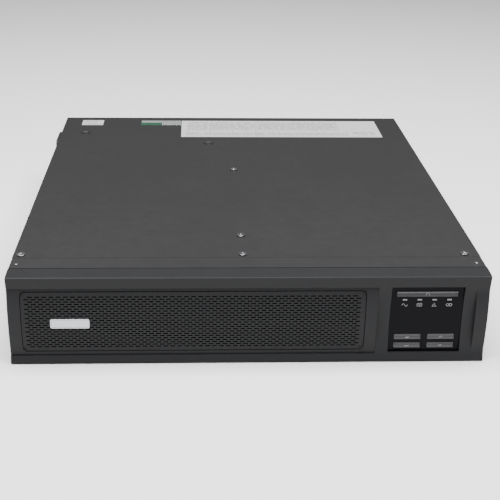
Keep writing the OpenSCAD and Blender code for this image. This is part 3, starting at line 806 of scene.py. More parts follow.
class FrontLook(bpy.types.PropertyGroup):
    """The moulded front."""

    plastic: FloatVectorProperty(
        name="Plastic", description="Colour of the bezel", default=(0.0135, 0.0137, 0.0147),
        size=3, subtype="COLOR", min=0, max=1)
    badge: FloatVectorProperty(
        name="Badge", description="Colour of the plain badge", default=(0.62, 0.63, 0.66),
        size=3, subtype="COLOR", min=0, max=1)
    bulge: FloatProperty(
        name="Bulge radius", description="Radius of the convex panel and the concave display bay",
        default=202 * MM, min=150 * MM, max=400 * MM, unit="LENGTH")
    wall: FloatProperty(
        name="Wall", description="Wall thickness of the bezel", default=2.2 * MM,
        min=1.5 * MM, max=2.5 * MM, unit="LENGTH")
    slot_width: FloatProperty(
        name="Slot width", description="Length of one air slot", default=4.3 * MM,
        min=2 * MM, max=5.4 * MM, unit="LENGTH")
    slot_height: FloatProperty(
        name="Slot height", description="Height of one air slot", default=1.1 * MM,
        min=0.6 * MM, max=1.6 * MM, unit="LENGTH")
    slot_columns: IntProperty(
        name="Slots in a row", description="Air slots in each row", default=48, min=10, max=60)
    slot_row_pairs: IntProperty(
        name="Pairs of rows", description="Pairs of staggered rows of air slots", default=11, min=4, max=16)


class DisplayLook(bpy.types.PropertyGroup):
    """The display module."""

    lens: FloatVectorProperty(
        name="Lens", description="Colour of the tinted lens", default=(0.0042, 0.0042, 0.0054),
        size=3, subtype="COLOR", min=0, max=1)
    keys: FloatVectorProperty(
        name="Keys", description="Colour of the keys", default=(0.05, 0.05, 0.053),
        size=3, subtype="COLOR", min=0, max=1)
    lights: FloatVectorProperty(
        name="Lights", description="Colour of the unlit status lights", default=(0.17, 0.17, 0.17),
        size=3, subtype="COLOR", min=0, max=1)
    prints: FloatVectorProperty(
        name="Symbols", description="Colour of the printed symbols", default=(0.36, 0.36, 0.37),
        size=3, subtype="COLOR", min=0, max=1)
    scoop: FloatProperty(
        name="Scoop", description="Depth of the finger groove in a key", default=1.1 * MM,
        min=0, max=1.5 * MM, unit="LENGTH")


class LabelLook(bpy.types.PropertyGroup):
    """The stickers."""

    film: FloatVectorProperty(
        name="Film", description="Colour of the label film", default=(0.43, 0.43, 0.44),
        size=3, subtype="COLOR", min=0, max=1)


class StageLook(bpy.types.PropertyGroup):
    """Floor, light and camera."""

    floor: FloatVectorProperty(
        name="Floor", description="Colour of the floor", default=(0.82, 0.82, 0.82),
        size=3, subtype="COLOR", min=0, max=1)
    sky: FloatProperty(
        name="Surround", description="Strength of the even light from all round", default=0.3, min=0, max=3)
    top_power: FloatProperty(
        name="Top light", description="Power of the large light overhead", default=110.0, min=0,
        subtype="POWER")
    lens: FloatProperty(
        name="Lens", description="Focal length of the camera in millimetres", default=73.65, min=20, max=200)


# --- Stage ----------------------------------------------------------------------------------


def area_light(name, place_at, aim, width, depth, power):
    deselect()
    bpy.ops.object.light_add(type="AREA", location=place_at)
    lamp = bpy.context.object
    lamp.name = name
    lamp.data.shape = "RECTANGLE"
    lamp.data.size = width
    lamp.data.size_y = depth
    lamp.data.energy = power
    lamp.rotation_euler = (Vector(aim) - Vector(place_at)).to_track_quat("-Z", "Y").to_euler()
    return lamp


class UPS_OT_stage(bpy.types.Operator):
    """Lays the floor and sets up the soft lights and the camera"""

    bl_idname = "ups.stage"
    bl_label = "Stage"

    def execute(self, context):
        look = settings().stage_look
        deselect()
        bpy.ops.mesh.primitive_plane_add(size=8, location=(0, 0, -0.0002))
        floor = context.object
        floor.name = "floor"
        place(floor)
        floor.data.materials.append(floor_card())

        world = bpy.data.worlds.new("surround")
        context.scene.world = world
        world.use_nodes = True
        backdrop = world.node_tree.nodes["Background"]
        backdrop.inputs["Color"].default_value = (1, 1, 1, 1)
        backdrop.inputs["Strength"].default_value = look.sky

        area_light("top_light", (0.0, -0.3, 1.6), (0, -0.1, 0), 2.0, 1.1, look.top_power)

        yaw, pitch, roll = (math.radians(a) for a in (2.65, 22.51, -0.93))
        deselect()
        bpy.ops.object.camera_add(location=(-0.0499, -1.0592, 0.4745))
        camera = context.object
        camera.name = "camera"
        turn = (Matrix.Rotation(-yaw, 3, "Z") @ Matrix.Rotation(math.pi / 2 - pitch, 3, "X")
                @ Matrix.Rotation(-roll, 3, "Z"))
        camera.rotation_euler = turn.to_euler()
        camera.data.sensor_width = 36
        camera.data.lens = look.lens
        camera.data.shift_x = 0.024
        camera.data.shift_y = -0.05
        camera.data.clip_start = 0.05
        context.scene.camera = camera
        return {"FINISHED"}


# --- Case -----------------------------------------------------------------------------------


def folded(node, name, body, finish, test):
    """A copy of a folded sheet with its bends rounded and its cut edges softened."""
    look = settings().case_look
    piece = copy_of(node, name)
    enter_edit(piece, "EDGE")
    select_where(piece, "EDGE", test)
    bpy.ops.mesh.bevel(offset=look.bend, segments=5, affect="EDGES", clamp_overlap=True)
    leave_edit()
    soften(piece, look.edge, 2, 40)
    return finish_piece(piece, body, finish, node)


class UPS_OT_case(bpy.types.Operator):
    """Models the tray, frame, cover, rear panel and bay wall of the case"""

    bl_idname = "ups.case"
    bl_label = "Case"

    def execute(self, context):
        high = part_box("base_tray")[1]
        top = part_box("top_cover")[1].z
        near = 0.05 * MM
        folded("base_tray", "tray_sheet", "chassis", powder_coat,
               lambda c, d: abs(c.z) < near and abs(abs(c.x) - high.x) < near and abs(d.y) > 0.9)
        folded("front_frame", "frame_sheet", "chassis", powder_coat,
               lambda c, d: abs(c.z - top) < near and abs(abs(c.x) - high.x) < near and abs(d.y) > 0.9)
        dimples = [(-32.3 * MM, 136.5 * MM), (-185.6 * MM, 178.7 * MM)]

        def cover_edge(c, d):
            if abs(c.z - top) > near:
                return False
            side = abs(abs(c.x) - high.x) < near and abs(d.y) > 0.9
            rear = abs(c.y - high.y) < near and abs(d.x) > 0.9
            rim = any(5.5 * MM < math.hypot(c.x - x, c.y - y) < 6.6 * MM for x, y in dimples)
            return side or rear or rim

        folded("top_cover", "cover_sheet", "chassis", powder_coat, cover_edge)
        refined("rear_panel", "rear_sheet", "chassis", powder_coat, 0.2 * MM)
        refined("bay_wall", "bay_sheet", "chassis", zinc_sheet, 0.2 * MM)
        refined("side_lug", "rail_lug", "chassis", powder_coat, 0.8 * MM, 4)
        refined("transformer_bracket", "clamp_strap", "chassis", zinc_sheet, 0.2 * MM)
        refined("slot_cover", "slot_plate", "chassis", zinc_sheet, 0.2 * MM)
        return {"FINISHED"}


# --- Front ----------------------------------------------------------------------------------


def chain(name, points):
    """A row of points joined by edges, drawn by extruding one point after another."""
    deselect()
    bpy.ops.mesh.primitive_plane_add(size=1)
    piece = bpy.context.object
    piece.name = name
    enter_edit(piece, "VERT")
    select_where(piece, "VERT", lambda c, n: not (c.x > 0 and c.y > 0))
    bpy.ops.mesh.delete(type="VERT")
    bpy.ops.mesh.select_all(action="SELECT")
    bpy.ops.transform.translate(value=Vector(points[0]) - Vector((0.5, 0.5, 0)))
    for last, point in zip(points, points[1:]):
        bpy.ops.mesh.extrude_region_move(TRANSFORM_OT_translate={"value": Vector(point) - Vector(last)})
    leave_edit()
    return piece


def swell(z, look):
    """How far the bulged panel stands out at a height."""
    half, middle = 33.5 * MM, 41.5 * MM
    return math.sqrt(look.bulge ** 2 - (z - middle) ** 2) - math.sqrt(look.bulge ** 2 - half ** 2)


def outer_skin(look):
    """The outside of the bezel: its outline drawn across in zones, bulged, hollowed and bulged again."""
    steps = 16
    heights = [(75 - 67 * i / steps) * MM for i in range(steps + 1)]
    face = [(-216 * MM, -241.5 * MM - swell(z, look), z) for z in heights]
    upper = [(-225.9, 87), (-242.9, 86.2), (-243.9, 85.8), (-244.5, 85.0), (-242.8, 75)]
    lower = [(-242.8, 8), (-244.5, 1.4), (-244.2, 0.5), (-243.4, 0), (-225.9, 0)]
    points = [(-216 * MM, y * MM, z * MM) for y, z in upper] + face
    points += [(-216 * MM, y * MM, z * MM) for y, z in lower]
    piece = chain("front_shell", points)
    enter_edit(piece, "VERT")
    bpy.ops.mesh.select_all(action="SELECT")
    place_x = -216.0
    for end in (114.8, 115.2, 203.8, 204.2, 216.0):
        bpy.ops.mesh.extrude_region_move(TRANSFORM_OT_translate={"value": ((end - place_x) * MM, 0, 0)})
        place_x = end
        if end in (115.2, 204.2):
            select_where(piece, "VERT", lambda c, n: abs(c.x - end * MM) < 0.05 * MM
                         and 7.99 * MM < c.z < 75.01 * MM and c.y > -245 * MM and on_face(c, look))
            bpy.ops.transform.resize(value=(1, -1, 1), center_override=(0, -242.15 * MM, 0))
            select_where(piece, "VERT", lambda c, n: abs(c.x - end * MM) < 0.05 * MM)
    leave_edit()
    return piece


def on_face(c, look):
    """Whether a point belongs to the bulged or hollowed part of the outline."""
    out = -241.5 * MM - swell(c.z, look)
    hollow = -242.8 * MM + swell(c.z, look)
    edge_of_band = abs(c.y + 242.8 * MM) < 0.01 * MM and (c.z > 74.9 * MM or c.z < 8.1 * MM)
    return (abs(c.y - out) < 0.02 * MM or abs(c.y - hollow) < 0.02 * MM) and not edge_of_band


class UPS_OT_bezel(bpy.types.Operator):
    """Models the moulded bezel with its bulged panel and hollowed display bay"""

    bl_idname = "ups.bezel"
    bl_label = "Bezel"

    def execute(self, context):
        look = settings().front_look
        piece = outer_skin(look)
        enter_edit(piece, "EDGE")
        for side in (-216 * MM, 216 * MM):
            select_where(piece, "EDGE", lambda c, d: abs(c.x - side) < 0.01 * MM and abs(d.x) < 0.5)
            bpy.ops.mesh.edge_face_add()
        leave_edit()
        recalculate(piece)
        enter_edit(piece, "EDGE")
        select_where(piece, "EDGE", lambda c, d: abs(abs(c.x) - 216 * MM) < 0.01 * MM and abs(d.x) < 0.5
                     and c.y < -235 * MM)
        bpy.ops.mesh.bevel(offset=1.0 * MM, segments=4, affect="EDGES", clamp_overlap=True)
        leave_edit()
        face_forward(piece)
        soften(piece, 0.3 * MM, 2, 20)
        apply_modifier(piece, "SOLIDIFY", thickness=look.wall, offset=-1, use_even_offset=True)
        grille_hole = plate_xz("grille_hole", -204.5 * MM, 104.5 * MM, 12 * MM, 72 * MM, -250 * MM, -232 * MM,
                               4.5 * MM)
        display_hole = plate_xz("display_hole", 127.1 * MM, 193.3 * MM, 8.9 * MM, 75.1 * MM, -250 * MM,
                                -232 * MM, 0.6 * MM, 3)
        cut(piece, [grille_hole, display_hole])
        hooks = []
        root, catch, tip = -242 * MM, -223 * MM, -221.2 * MM
        for x, z in ((-150, 83.5), (60, 83.5), (-150, 4), (60, 4)):
            left, right = (x - 5) * MM, (x + 5) * MM
            hooks.append(block("hook", (left, root, (z - 1) * MM), (right, tip, (z + 1) * MM)))
            hooks.append(block("barb", (left, catch, (z - 0.9) * MM), (right, tip, (z + 1.8) * MM)))
        hooks = join("hooks", hooks)
        soften(hooks, 0.25 * MM)
        piece = join("front_shell", [piece, hooks])
        finish_piece(piece, "front_bezel", bezel_plastic, "bezel", 25)
        return {"FINISHED"}


def slot_tile(pitch_x, pitch_z, look):
    """One cell of the grille: a rectangle with a rounded slot through it."""
    deselect()
    bpy.ops.mesh.primitive_plane_add(size=1, rotation=(math.pi / 2, 0, 0))
    cell = bpy.context.object
    cell.scale = (pitch_x, pitch_z, 1)
    place(cell)
    enter_edit(cell)
    bpy.ops.mesh.select_all(action="SELECT")
    bpy.ops.mesh.subdivide(number_cuts=1)
    bpy.ops.mesh.delete(type="ONLY_FACE")
    leave_edit()
    enter_edit(cell, "VERT")
    select_where(cell, "VERT", lambda c, n: c.length < 0.01 * MM)
    bpy.ops.mesh.delete(type="VERT")
    leave_edit()

    deselect()
    bpy.ops.mesh.primitive_circle_add(vertices=8, radius=look.slot_height / 2, rotation=(math.pi / 2, 0, 0))
    slot = bpy.context.object
    place(slot)
    straight = (look.slot_width - look.slot_height) / 2
    enter_edit(slot, "VERT")
    for side in (1, -1):
        select_where(slot, "VERT", lambda c, n: c.x * side > 0.1 * MM)
        bpy.ops.transform.translate(value=(side * straight, 0, 0))
        select_where(slot, "VERT", lambda c, n: c.x * side > 0.1 * MM and abs(c.z) > 0.1 * MM)
        bpy.ops.transform.resize(value=(1, 1, math.sqrt(2)), center_override=(0, 0, 0))
    leave_edit()
    tile = join("tile", [cell, slot])
    enter_edit(tile, "EDGE")
    bpy.ops.mesh.select_all(action="SELECT")
    bpy.ops.mesh.bridge_edge_loops()
    leave_edit()
    return tile


def repeat(piece, count, step):
    apply_modifier(piece, "ARRAY", count=count, use_relative_offset=False, use_constant_offset=True,
                   constant_offset_displace=step, use_merge_vertices=True, merge_threshold=0.01 * MM)
    return piece


def grille_field(columns, pairs, pitch_x, pitch_z, look):
    """Staggered rows of slots, centred on the origin: long rows between rows that are one slot short."""
    tile = slot_tile(pitch_x, pitch_z, look)
    long_row = duplicate(tile, "long_row")
    repeat(long_row, columns, (pitch_x, 0, 0))
    shift(long_row, (-(columns - 1) * pitch_x / 2, 0, pitch_z))
    short_row = repeat(tile, columns - 1, (pitch_x, 0, 0))
    shift(short_row, (-(columns - 2) * pitch_x / 2, 0, 0))
    ends = []
    for side in (-1, 1):
        deselect()
        bpy.ops.mesh.primitive_plane_add(size=1, rotation=(math.pi / 2, 0, 0))
        end = bpy.context.object
        end.scale = (pitch_x / 2, pitch_z, 1)
        end.location = (side * (columns - 0.5) * pitch_x / 2, 0, 0)
        place(end)
        enter_edit(end)
        bpy.ops.mesh.select_all(action="SELECT")
        bpy.ops.mesh.bisect(plane_co=(0, 0, 0), plane_no=(0, 0, 1))
        leave_edit()
        ends.append(end)
    short_row = join("short_row", [short_row, *ends])
    last_row = duplicate(short_row, "last_row")
    shift(last_row, (0, 0, 2 * pairs * pitch_z))
    field = join("grille", [short_row, long_row])
    repeat(field, pairs, (0, 0, 2 * pitch_z))
    field = join("grille", [field, last_row])
    shift(field, (0, 0, -pairs * pitch_z))
    recalculate(field)
    return field


class UPS_OT_grille(bpy.types.Operator):
    """Models the perforated panel that lies in the bulged part of the bezel"""

    bl_idname = "ups.grille"
    bl_label = "Grille"

    def execute(self, context):
        look = settings().front_look
        pitch_x, pitch_z = 6.3 * MM, 2.268 * MM
        field = grille_field(look.slot_columns, look.slot_row_pairs, pitch_x, pitch_z, look)
        half_x = look.slot_columns * pitch_x / 2
        half_z = (2 * look.slot_row_pairs + 1) * pitch_z / 2
        shift(field, (-0.6 * MM, 0, 0))
        enter_edit(field, "EDGE")
        select_where(field, "EDGE", lambda c, d: abs(abs(c.x + 0.6 * MM) - half_x) < 0.01 * MM
                     or abs(abs(c.z) - half_z) < 0.01 * MM)
        bpy.ops.mesh.extrude_region_move(TRANSFORM_OT_translate={"value": (0, -1 * MM, 0)})
        leave_edit()
        enter_edit(field, "VERT")
        outline = {"left": (-153.9 * MM, lambda c: c.x < -half_x - 0.59 * MM),
                   "right": (153.9 * MM, lambda c: c.x > half_x - 0.61 * MM)}
        for edge, test in outline.values():
            select_where(field, "VERT", lambda c, n: c.y < -0.5 * MM and test(c))
            bpy.ops.transform.resize(value=(0, 1, 1), center_override=(edge, 0, 0))
        for side in (-1, 1):
            select_where(field, "VERT", lambda c, n: c.y < -0.5 * MM and c.z * side > half_z - 0.01 * MM)
            bpy.ops.transform.resize(value=(1, 1, 0), center_override=(0, 0, side * 29.4 * MM))
        select_where(field, "VERT", lambda c, n: c.y < -0.5 * MM)
        bpy.ops.transform.translate(value=(0, 1 * MM, 0))
        select_where(field, "VERT", lambda c, n: abs(abs(c.x) - 153.9 * MM) < 0.01 * MM
                     and abs(abs(c.z) - 29.4 * MM) < 0.01 * MM)
        bpy.ops.mesh.bevel(offset=3.6 * MM, segments=6, affect="VERTICES")
        leave_edit()
        apply_modifier(field, "SIMPLE_DEFORM", deform_method="BEND", deform_axis="X",
                       angle=58.8 * MM / look.bulge)
        face_forward(field)
        apply_modifier(field, "SOLIDIFY", thickness=1.6 * MM, offset=-1)
        shift(field, (-50 * MM, -244.3 * MM, 42 * MM))
        finish_piece(field, "front_bezel", grille_plastic, "grille_panel", 25)
        return {"FINISHED"}


class UPS_OT_badge(bpy.types.Operator):
    """Models a plain badge with a raised rim"""

    bl_idname = "ups.badge"
    bl_label = "Badge"

    def execute(self, context):
        piece = plate_xz("badge_plate", -178.4 * MM, -143.6 * MM, 36.7 * MM, 45.8 * MM, -244.7 * MM,
                         -242.5 * MM, 1.6 * MM)
        enter_edit(piece)
        select_where(piece, "FACE", lambda c, n: n.y < -0.9)
        bpy.ops.mesh.inset(thickness=0.5 * MM, depth=0)
        bpy.ops.mesh.inset(thickness=0.15 * MM, depth=-0.35 * MM)
        bpy.ops.mesh.inset(thickness=0.5 * MM, depth=0)
        bpy.ops.mesh.inset(thickness=0.15 * MM, depth=0.35 * MM)
        leave_edit()
        finish_piece(piece, "front_bezel", badge_plastic, "badge")
        return {"FINISHED"}


# --- Display --------------------------------------------------------------------------------


def symbol(strokes, x, y, z, weight):
    """Thin raised lines in front of a place, each stroke a list of points across and up in millimetres."""
    parts = []
    for stroke in strokes:
        line = chain("stroke", [(x + a * MM, y, z + b * MM) for a, b in stroke])
        activate(line)
        bpy.ops.object.convert(target="CURVE")
        line.data.bevel_depth = weight
        line.data.bevel_resolution = 1
        bpy.ops.object.convert(target="MESH")
        parts.append(line)
    return parts


def ring(radius, x=0.0, z=0.0, start=0, end=360, steps=12):
    turns = [math.radians(start + (end - start) * i / steps) for i in range(steps + 1)]
    return [(x + radius * math.cos(t), z + radius * math.sin(t)) for t in turns]


class UPS_OT_display(bpy.types.Operator):
    """Models the display module: housing, tinted lens, panel, lights, symbols and keys"""

    bl_idname = "ups.display"
    bl_label = "Display"

    def execute(self, context):
        refined("display_housing", "display_case", "display", display_black, 0.2 * MM)
        refined("display_lens", "display_window", "display", lens_gloss, 0.15 * MM)
        refined("lcd_panel", "lcd_module", "display", lcd_dark, 0.2 * MM)
        refined("display_board", "display_pcb", "display", circuit_board, 0.1 * MM)
        refined("status_lights", "light_pipes", "display", light_pipe, 0.12 * MM)

        lens_y, front = -239.6 * MM, -240.4 * MM
        centre = 160.2 * MM
        wave = [(-2.6, -0.4), (-2.0, 0.9), (-1.3, 1.4), (-0.6, 0.8),
                (0.6, -0.8), (1.3, -1.4), (2.0, -0.9), (2.6, 0.4)]
        cell = [(-2.2, -1.2), (2.2, -1.2), (2.2, 1.2), (-2.2, 1.2), (-2.2, -1.2)]
        symbols = [
            [wave],
            [cell, [(-1.2, 1.2), (-1.2, 2.0)], [(1.2, 1.2), (1.2, 2.0)], [(-1.1, 0), (1.1, 0)]],
            [[(-1.9, -1.4), (0, 1.8), (1.9, -1.4), (-1.9, -1.4)], [(0, -0.5), (0, 0.6)]],
            [ring(1.25, -1.35), ring(1.25, 1.35)],
        ]
        prints = []
        for index, strokes in enumerate(symbols):
            prints += symbol(strokes, centre + 13.5 * (index - 1.5) * MM, lens_y, 56 * MM, 0.2 * MM)
        finish_piece(join("light_symbols", prints), "display", print_grey)

        self.key("power_bar", "power_button", "power_key", centre, 67.1 * MM, 55.4 * MM, 5 * MM, front, [
            ring(1.5, 0, 0, 125, 415), [(0, 0.5), (0, 2.0)],
        ])
        left, right = centre - 15.4 * MM, centre + 15.4 * MM
        for name, node, body, x, z, strokes in (
            ("escape_cap", "escape_button", "escape_key", left, 23.8 * MM,
             [[(-1.4, 0.8), (0, -0.8)], [(1.4, 0.8), (0, -0.8)], [(-1.4, -0.8), (1.4, -0.8)]]),
            ("up_cap", "up_button", "up_key", right, 23.8 * MM, [[(-1.5, -0.7), (0, 0.8), (1.5, -0.7)]]),
            ("enter_cap", "enter_button", "enter_key", left, 15.1 * MM,
             [[(1.6, 0.9), (1.6, -0.4), (-1.6, -0.4)], [(-0.7, 0.4), (-1.6, -0.4), (-0.7, -1.2)]]),
            ("down_cap", "down_button", "down_key", right, 15.1 * MM, [[(-1.5, 0.8), (0, -0.7), (1.5, 0.8)]]),
        ):
            self.key(name, node, body, x, z, 24.5 * MM, 5 * MM, front, strokes)

        # The ribbon is subdivided and stays put at the board; no body carries either end.
        ribbon = copy_of("display_ribbon", "ribbon_cable")
        enter_edit(ribbon)
        bpy.ops.mesh.select_all(action="SELECT")
        bpy.ops.mesh.subdivide(number_cuts=3)
        leave_edit()
        finish_piece(ribbon, None, ribbon_film, "display_ribbon")
        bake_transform(ribbon)
        return {"FINISHED"}

    def key(self, name, node, body, x, z, width, height, front, strokes):
        """A key with a finger groove in its face and a symbol in the groove."""
        scoop = settings().display_look.scoop
        cap = block(name, (x - width / 2, front, z - height / 2), (x + width / 2, -234 * MM, z + height / 2))
        groove = z + 0.1 * height
        enter_edit(cap)
        bpy.ops.mesh.select_all(action="SELECT")
        bpy.ops.mesh.bisect(plane_co=(x, front, groove), plane_no=(0, 0, 1))
        leave_edit()
        enter_edit(cap, "EDGE")
        select_where(cap, "EDGE", lambda c, d: abs(c.y - front) < 0.01 * MM and abs(c.z - groove) < 0.01 * MM)
        bpy.ops.transform.translate(value=(0, scoop, 0))
        leave_edit()
        soften(cap, 0.22 * MM, 2, 10)
        foot = block("foot", (x - width / 2 - 0.7 * MM, -237.7 * MM, z - height / 2 - 0.7 * MM),
                     (x + width / 2 + 0.7 * MM, -236 * MM, z + height / 2 + 0.7 * MM))
        soften(foot, 0.2 * MM)
        cap = join(name, [cap, foot])
        finish_piece(cap, body, key_plastic, node)
        lines = symbol(strokes, x, front + 0.55 * scoop, z - 0.2 * height * 0.5, 0.2 * MM)
        mark = join(name + "_symbol", lines)
        finish_piece(mark, body, print_grey)


# --- Fasteners and stickers -----------------------------------------------------------------


def crossed(node, name, body, finish, heads, width=0.35 * MM):
    """A copy of a set of screws with rounded heads and a cross recess cut in each head.

    Each head is its outer face centre, its radius and the axis it points along.
    """
    piece = copy_of(node, name)
    soften(piece, width, 3, 50)
    cutters = []
    for centre, radius, axis in heads:
        centre = Vector(centre)
        for turn in (0, 1):
            half = Vector((0.6 * radius, 0.17 * radius, 0.17 * radius))
            if axis == "Z":
                half = Vector((half.x, half.y, 0.7 * MM)) if turn else Vector((half.y, half.x, 0.7 * MM))
            else:
                half = Vector((half.x, 0.7 * MM, half.z)) if turn else Vector((half.z, 0.7 * MM, half.x))
            cutters.append(block("cross", centre - half, centre + half))
    cut(piece, cutters)
    return finish_piece(piece, body, finish, node)


class UPS_OT_fasteners(bpy.types.Operator):
    """Models the screws and rivets of the case"""

    bl_idname = "ups.fasteners"
    bl_label = "Fasteners"

    def execute(self, context):
        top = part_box("cover_screws")[1].z
        cover = [(-208.7, -196.5), (202, -196.5), (-5.1, -196.5), (-5.1, -152), (-5.1, 39)]
        crossed("cover_screws", "bright_screws", "chassis", plated_screw,
                [((x * MM, y * MM, top), 4 * MM, "Z") for x, y in cover])
        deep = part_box("recessed_screws")[1].z
        crossed("recessed_screws", "dimple_screws", "chassis", black_oxide,
                [((x * MM, y * MM, deep), 3.6 * MM, "Z") for x, y in ((-32.3, 136.5), (-185.6, 178.7))])
        refined("frame_rivets", "strip_rivets", "chassis", bright_steel, 0.25 * MM, 3)
        return {"FINISHED"}


class UPS_OT_stickers(bpy.types.Operator):
    """Models the stickers on the cover"""

    bl_idname = "ups.stickers"
    bl_label = "Stickers"

    def execute(self, context):
        refined("rating_label", "rating_sticker", "chassis", rating_film, 0.05 * MM)
        refined("serial_label", "serial_sticker", "chassis", serial_film, 0.05 * MM)
        refined("seal_sticker", "foil_seal", "chassis", seal_foil, 0.05 * MM)
        return {"FINISHED"}


# --- Inside and rear ------------------------------------------------------------------------


class UPS_OT_battery(bpy.types.Operator):
    """Models the battery cartridge, its door and thumb screws"""

    bl_idname = "ups.battery"
    bl_label = "Battery"

    def execute(self, context):
        refined("battery_door", "bay_door", "door", black_oxide, 0.2 * MM)
        refined("battery_tray", "cartridge_tray", "battery", zinc_sheet, 0.2 * MM)
        for index in range(1, 5):
            self.block_case(index)
        refined("battery_links", "link_bar", "battery", connector_orange, 0.3 * MM)
        refined("pull_strap", "strap", "battery", strap_webbing, 0.5 * MM)
        refined("connector_socket", "blind_socket", "chassis", connector_orange, 0.5 * MM)
        for side in ("left", "right"):
            refined(f"thumb_screw_{side}", f"thumb_{side}_knob", f"thumb_{side}", bright_steel, 0.4 * MM, 3)
        return {"FINISHED"}

    def block_case(self, index):
        """A battery block with a lid seam, a sunk top panel and a label."""
        node = f"battery_block_{index}"
        piece = copy_of(node, f"battery_case_{index}")
        low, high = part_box(node)
        enter_edit(piece)
        select_where(piece, "FACE", lambda c, n: n.z > 0.9 and c.z > high.z - 0.1 * MM)
        bpy.ops.mesh.inset(thickness=4 * MM, depth=0)
        bpy.ops.mesh.inset(thickness=0.3 * MM, depth=-0.9 * MM)
        for height in (9.0, 10.0):
            bpy.ops.mesh.select_all(action="SELECT")
            bpy.ops.mesh.bisect(plane_co=(0, 0, high.z - height * MM), plane_no=(0, 0, 1))
        select_where(piece, "FACE", lambda c, n: abs(c.z - high.z + 9.5 * MM) < 0.1 * MM and abs(n.z) < 0.1)
        bpy.ops.mesh.extrude_region_shrink_fatten(TRANSFORM_OT_shrink_fatten={"value": -0.7 * MM})
        leave_edit()
        soften(piece, 0.3 * MM, 2, 50)
        finish_piece(piece, "battery", battery_black, node)
        centre = (low + high) / 2
        label = block(f"battery_label_{index}", (centre.x - 30 * MM, centre.y - 45 * MM, high.z - 0.92 * MM),
                      (centre.x + 30 * MM, centre.y + 45 * MM, high.z - 0.75 * MM))
        finish_piece(label, "battery", lambda: printed_film(f"battery_film_{index}", node, [
            (0.28, 0.72, 0.3, 0.7, 0.006, 180.0), (0.24, 0.76, 0.73, 0.76, 0, 0),
        ]))


class UPS_OT_electronics(bpy.types.Operator):
    """Models the board, its parts and the transformer"""

    bl_idname = "ups.electronics"
    bl_label = "Electronics"

    def execute(self, context):
        for node, name, finish, width in (
            ("main_board", "power_board", circuit_board, 0.2 * MM),
            ("heat_sinks", "finned_sinks", sink_aluminium, 0.3 * MM),
            ("power_transistors", "transistors", component_black, 0.4 * MM),
            ("capacitors", "can_capacitors", capacitor_sleeve, 0.8 * MM),
            ("relays", "relay_boxes", relay_case, 0.5 * MM),
            ("inductors", "toroids", copper_winding, 0.3 * MM),
            ("transformer_core", "laminations", core_steel, 0.3 * MM),
            ("transformer_coils", "windings", coil_tape, 1.0 * MM),
            ("battery_leads", "red_leads", lead_red, 0.1 * MM),
        ):
            refined(node, name, "chassis", finish, width, 3)
        return {"FINISHED"}


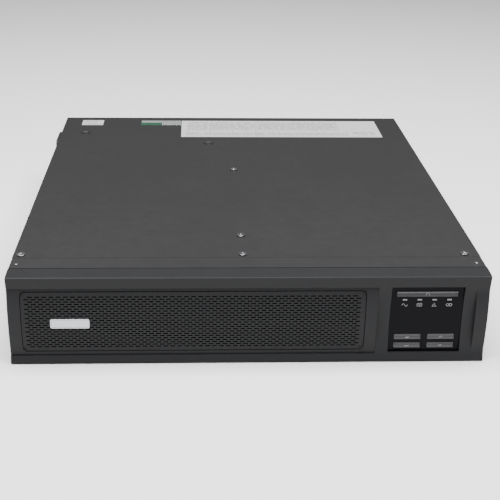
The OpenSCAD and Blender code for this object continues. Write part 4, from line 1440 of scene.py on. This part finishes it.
class UPS_OT_rear(bpy.types.Operator):
    """Models the fan, the connectors and the breaker of the rear"""

    bl_idname = "ups.rear"
    bl_label = "Rear"

    def execute(self, context):
        for node, name, body, finish, width in (
            ("fan_frame", "fan_housing", "chassis", fan_black, 0.6 * MM),
            ("fan_rotor", "fan_blades", "fan", fan_black, 0.4 * MM),
            ("fan_guard", "wire_guard", "chassis", bright_steel, 0.2 * MM),
            ("power_inlet", "inlet_socket", "chassis", socket_black, 0.4 * MM),
            ("outlet_bank_left", "outlets_left_bank", "chassis", socket_black, 0.4 * MM),
            ("outlet_bank_right", "outlets_right_bank", "chassis", socket_black, 0.4 * MM),
            ("breaker_body", "breaker_bush", "chassis", socket_black, 0.4 * MM),
            ("breaker_button", "breaker_pin", "breaker", socket_black, 0.5 * MM),
            ("serial_port", "serial_socket", "chassis", socket_black, 0.3 * MM),
            ("usb_port", "usb_socket", "chassis", bright_steel, 0.3 * MM),
            ("epo_terminal", "terminal_block", "chassis", terminal_green, 0.4 * MM),
        ):
            refined(node, name, body, finish, width)
        fan_x, fan_z, inlet_x, inlet_z, slot_x, slot_z = -165, 43.5, 62, 62, 158, 60
        on_panel, on_inlet, on_cover = 237.8, 239.8, 238.8
        heads = [((fan_x + x, on_panel, fan_z + z), 3.5) for x in (-36, 36) for z in (-36, 36)]
        heads += [((inlet_x + x, on_inlet, inlet_z), 2.8) for x in (-20, 20)]
        heads += [((slot_x + x, on_cover, slot_z), 3) for x in (-35, 35)]
        heads.append(((198, on_panel, 26), 4))
        crossed("rear_screws", "rear_screw_heads", "chassis", bright_steel,
                [(Vector(place_at) * MM, radius * MM, "Y") for place_at, radius in heads])
        return {"FINISHED"}


# --- Panel and registration -----------------------------------------------------------------

OPERATORS = (
    UPS_OT_stage, UPS_OT_case, UPS_OT_bezel, UPS_OT_grille, UPS_OT_badge, UPS_OT_display,
    UPS_OT_fasteners, UPS_OT_stickers, UPS_OT_battery, UPS_OT_electronics, UPS_OT_rear,
)
LOOKS = {
    "case_look": CaseLook, "front_look": FrontLook, "display_look": DisplayLook,
    "label_look": LabelLook, "stage_look": StageLook,
}


class UPS_PT_sidebar(bpy.types.Panel):
    """Lists the settings and the pieces of the power supply"""

    bl_idname = "UPS_PT_sidebar"
    bl_label = "Power Supply"
    bl_space_type = "VIEW_3D"
    bl_region_type = "UI"
    bl_category = SIDEBAR

    def draw(self, context):
        for attribute, look in LOOKS.items():
            column = self.layout.column(align=True)
            column.label(text=look.__doc__)
            for key in look.__annotations__:
                column.prop(getattr(context.scene, attribute), key)
        column = self.layout.column(align=True)
        for operator in OPERATORS:
            column.operator(operator.bl_idname)


def register():
    for look in LOOKS.values():
        bpy.utils.register_class(look)
    for operator in OPERATORS:
        bpy.utils.register_class(operator)
    bpy.utils.register_class(UPS_PT_sidebar)
    for attribute, look in LOOKS.items():
        setattr(bpy.types.Scene, attribute, PointerProperty(type=look))


def unregister():
    for attribute in LOOKS:
        delattr(bpy.types.Scene, attribute)
    bpy.utils.unregister_class(UPS_PT_sidebar)
    for operator in reversed(OPERATORS):
        bpy.utils.unregister_class(operator)
    for look in reversed(list(LOOKS.values())):
        bpy.utils.unregister_class(look)


def main():
    register()
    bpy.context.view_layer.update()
    for operator in OPERATORS:
        group, action = operator.bl_idname.split(".")
        if getattr(getattr(bpy.ops, group), action)() != {"FINISHED"}:
            raise RuntimeError(f"{operator.bl_label} did not finish")


if __name__ == "__main__":
    main()
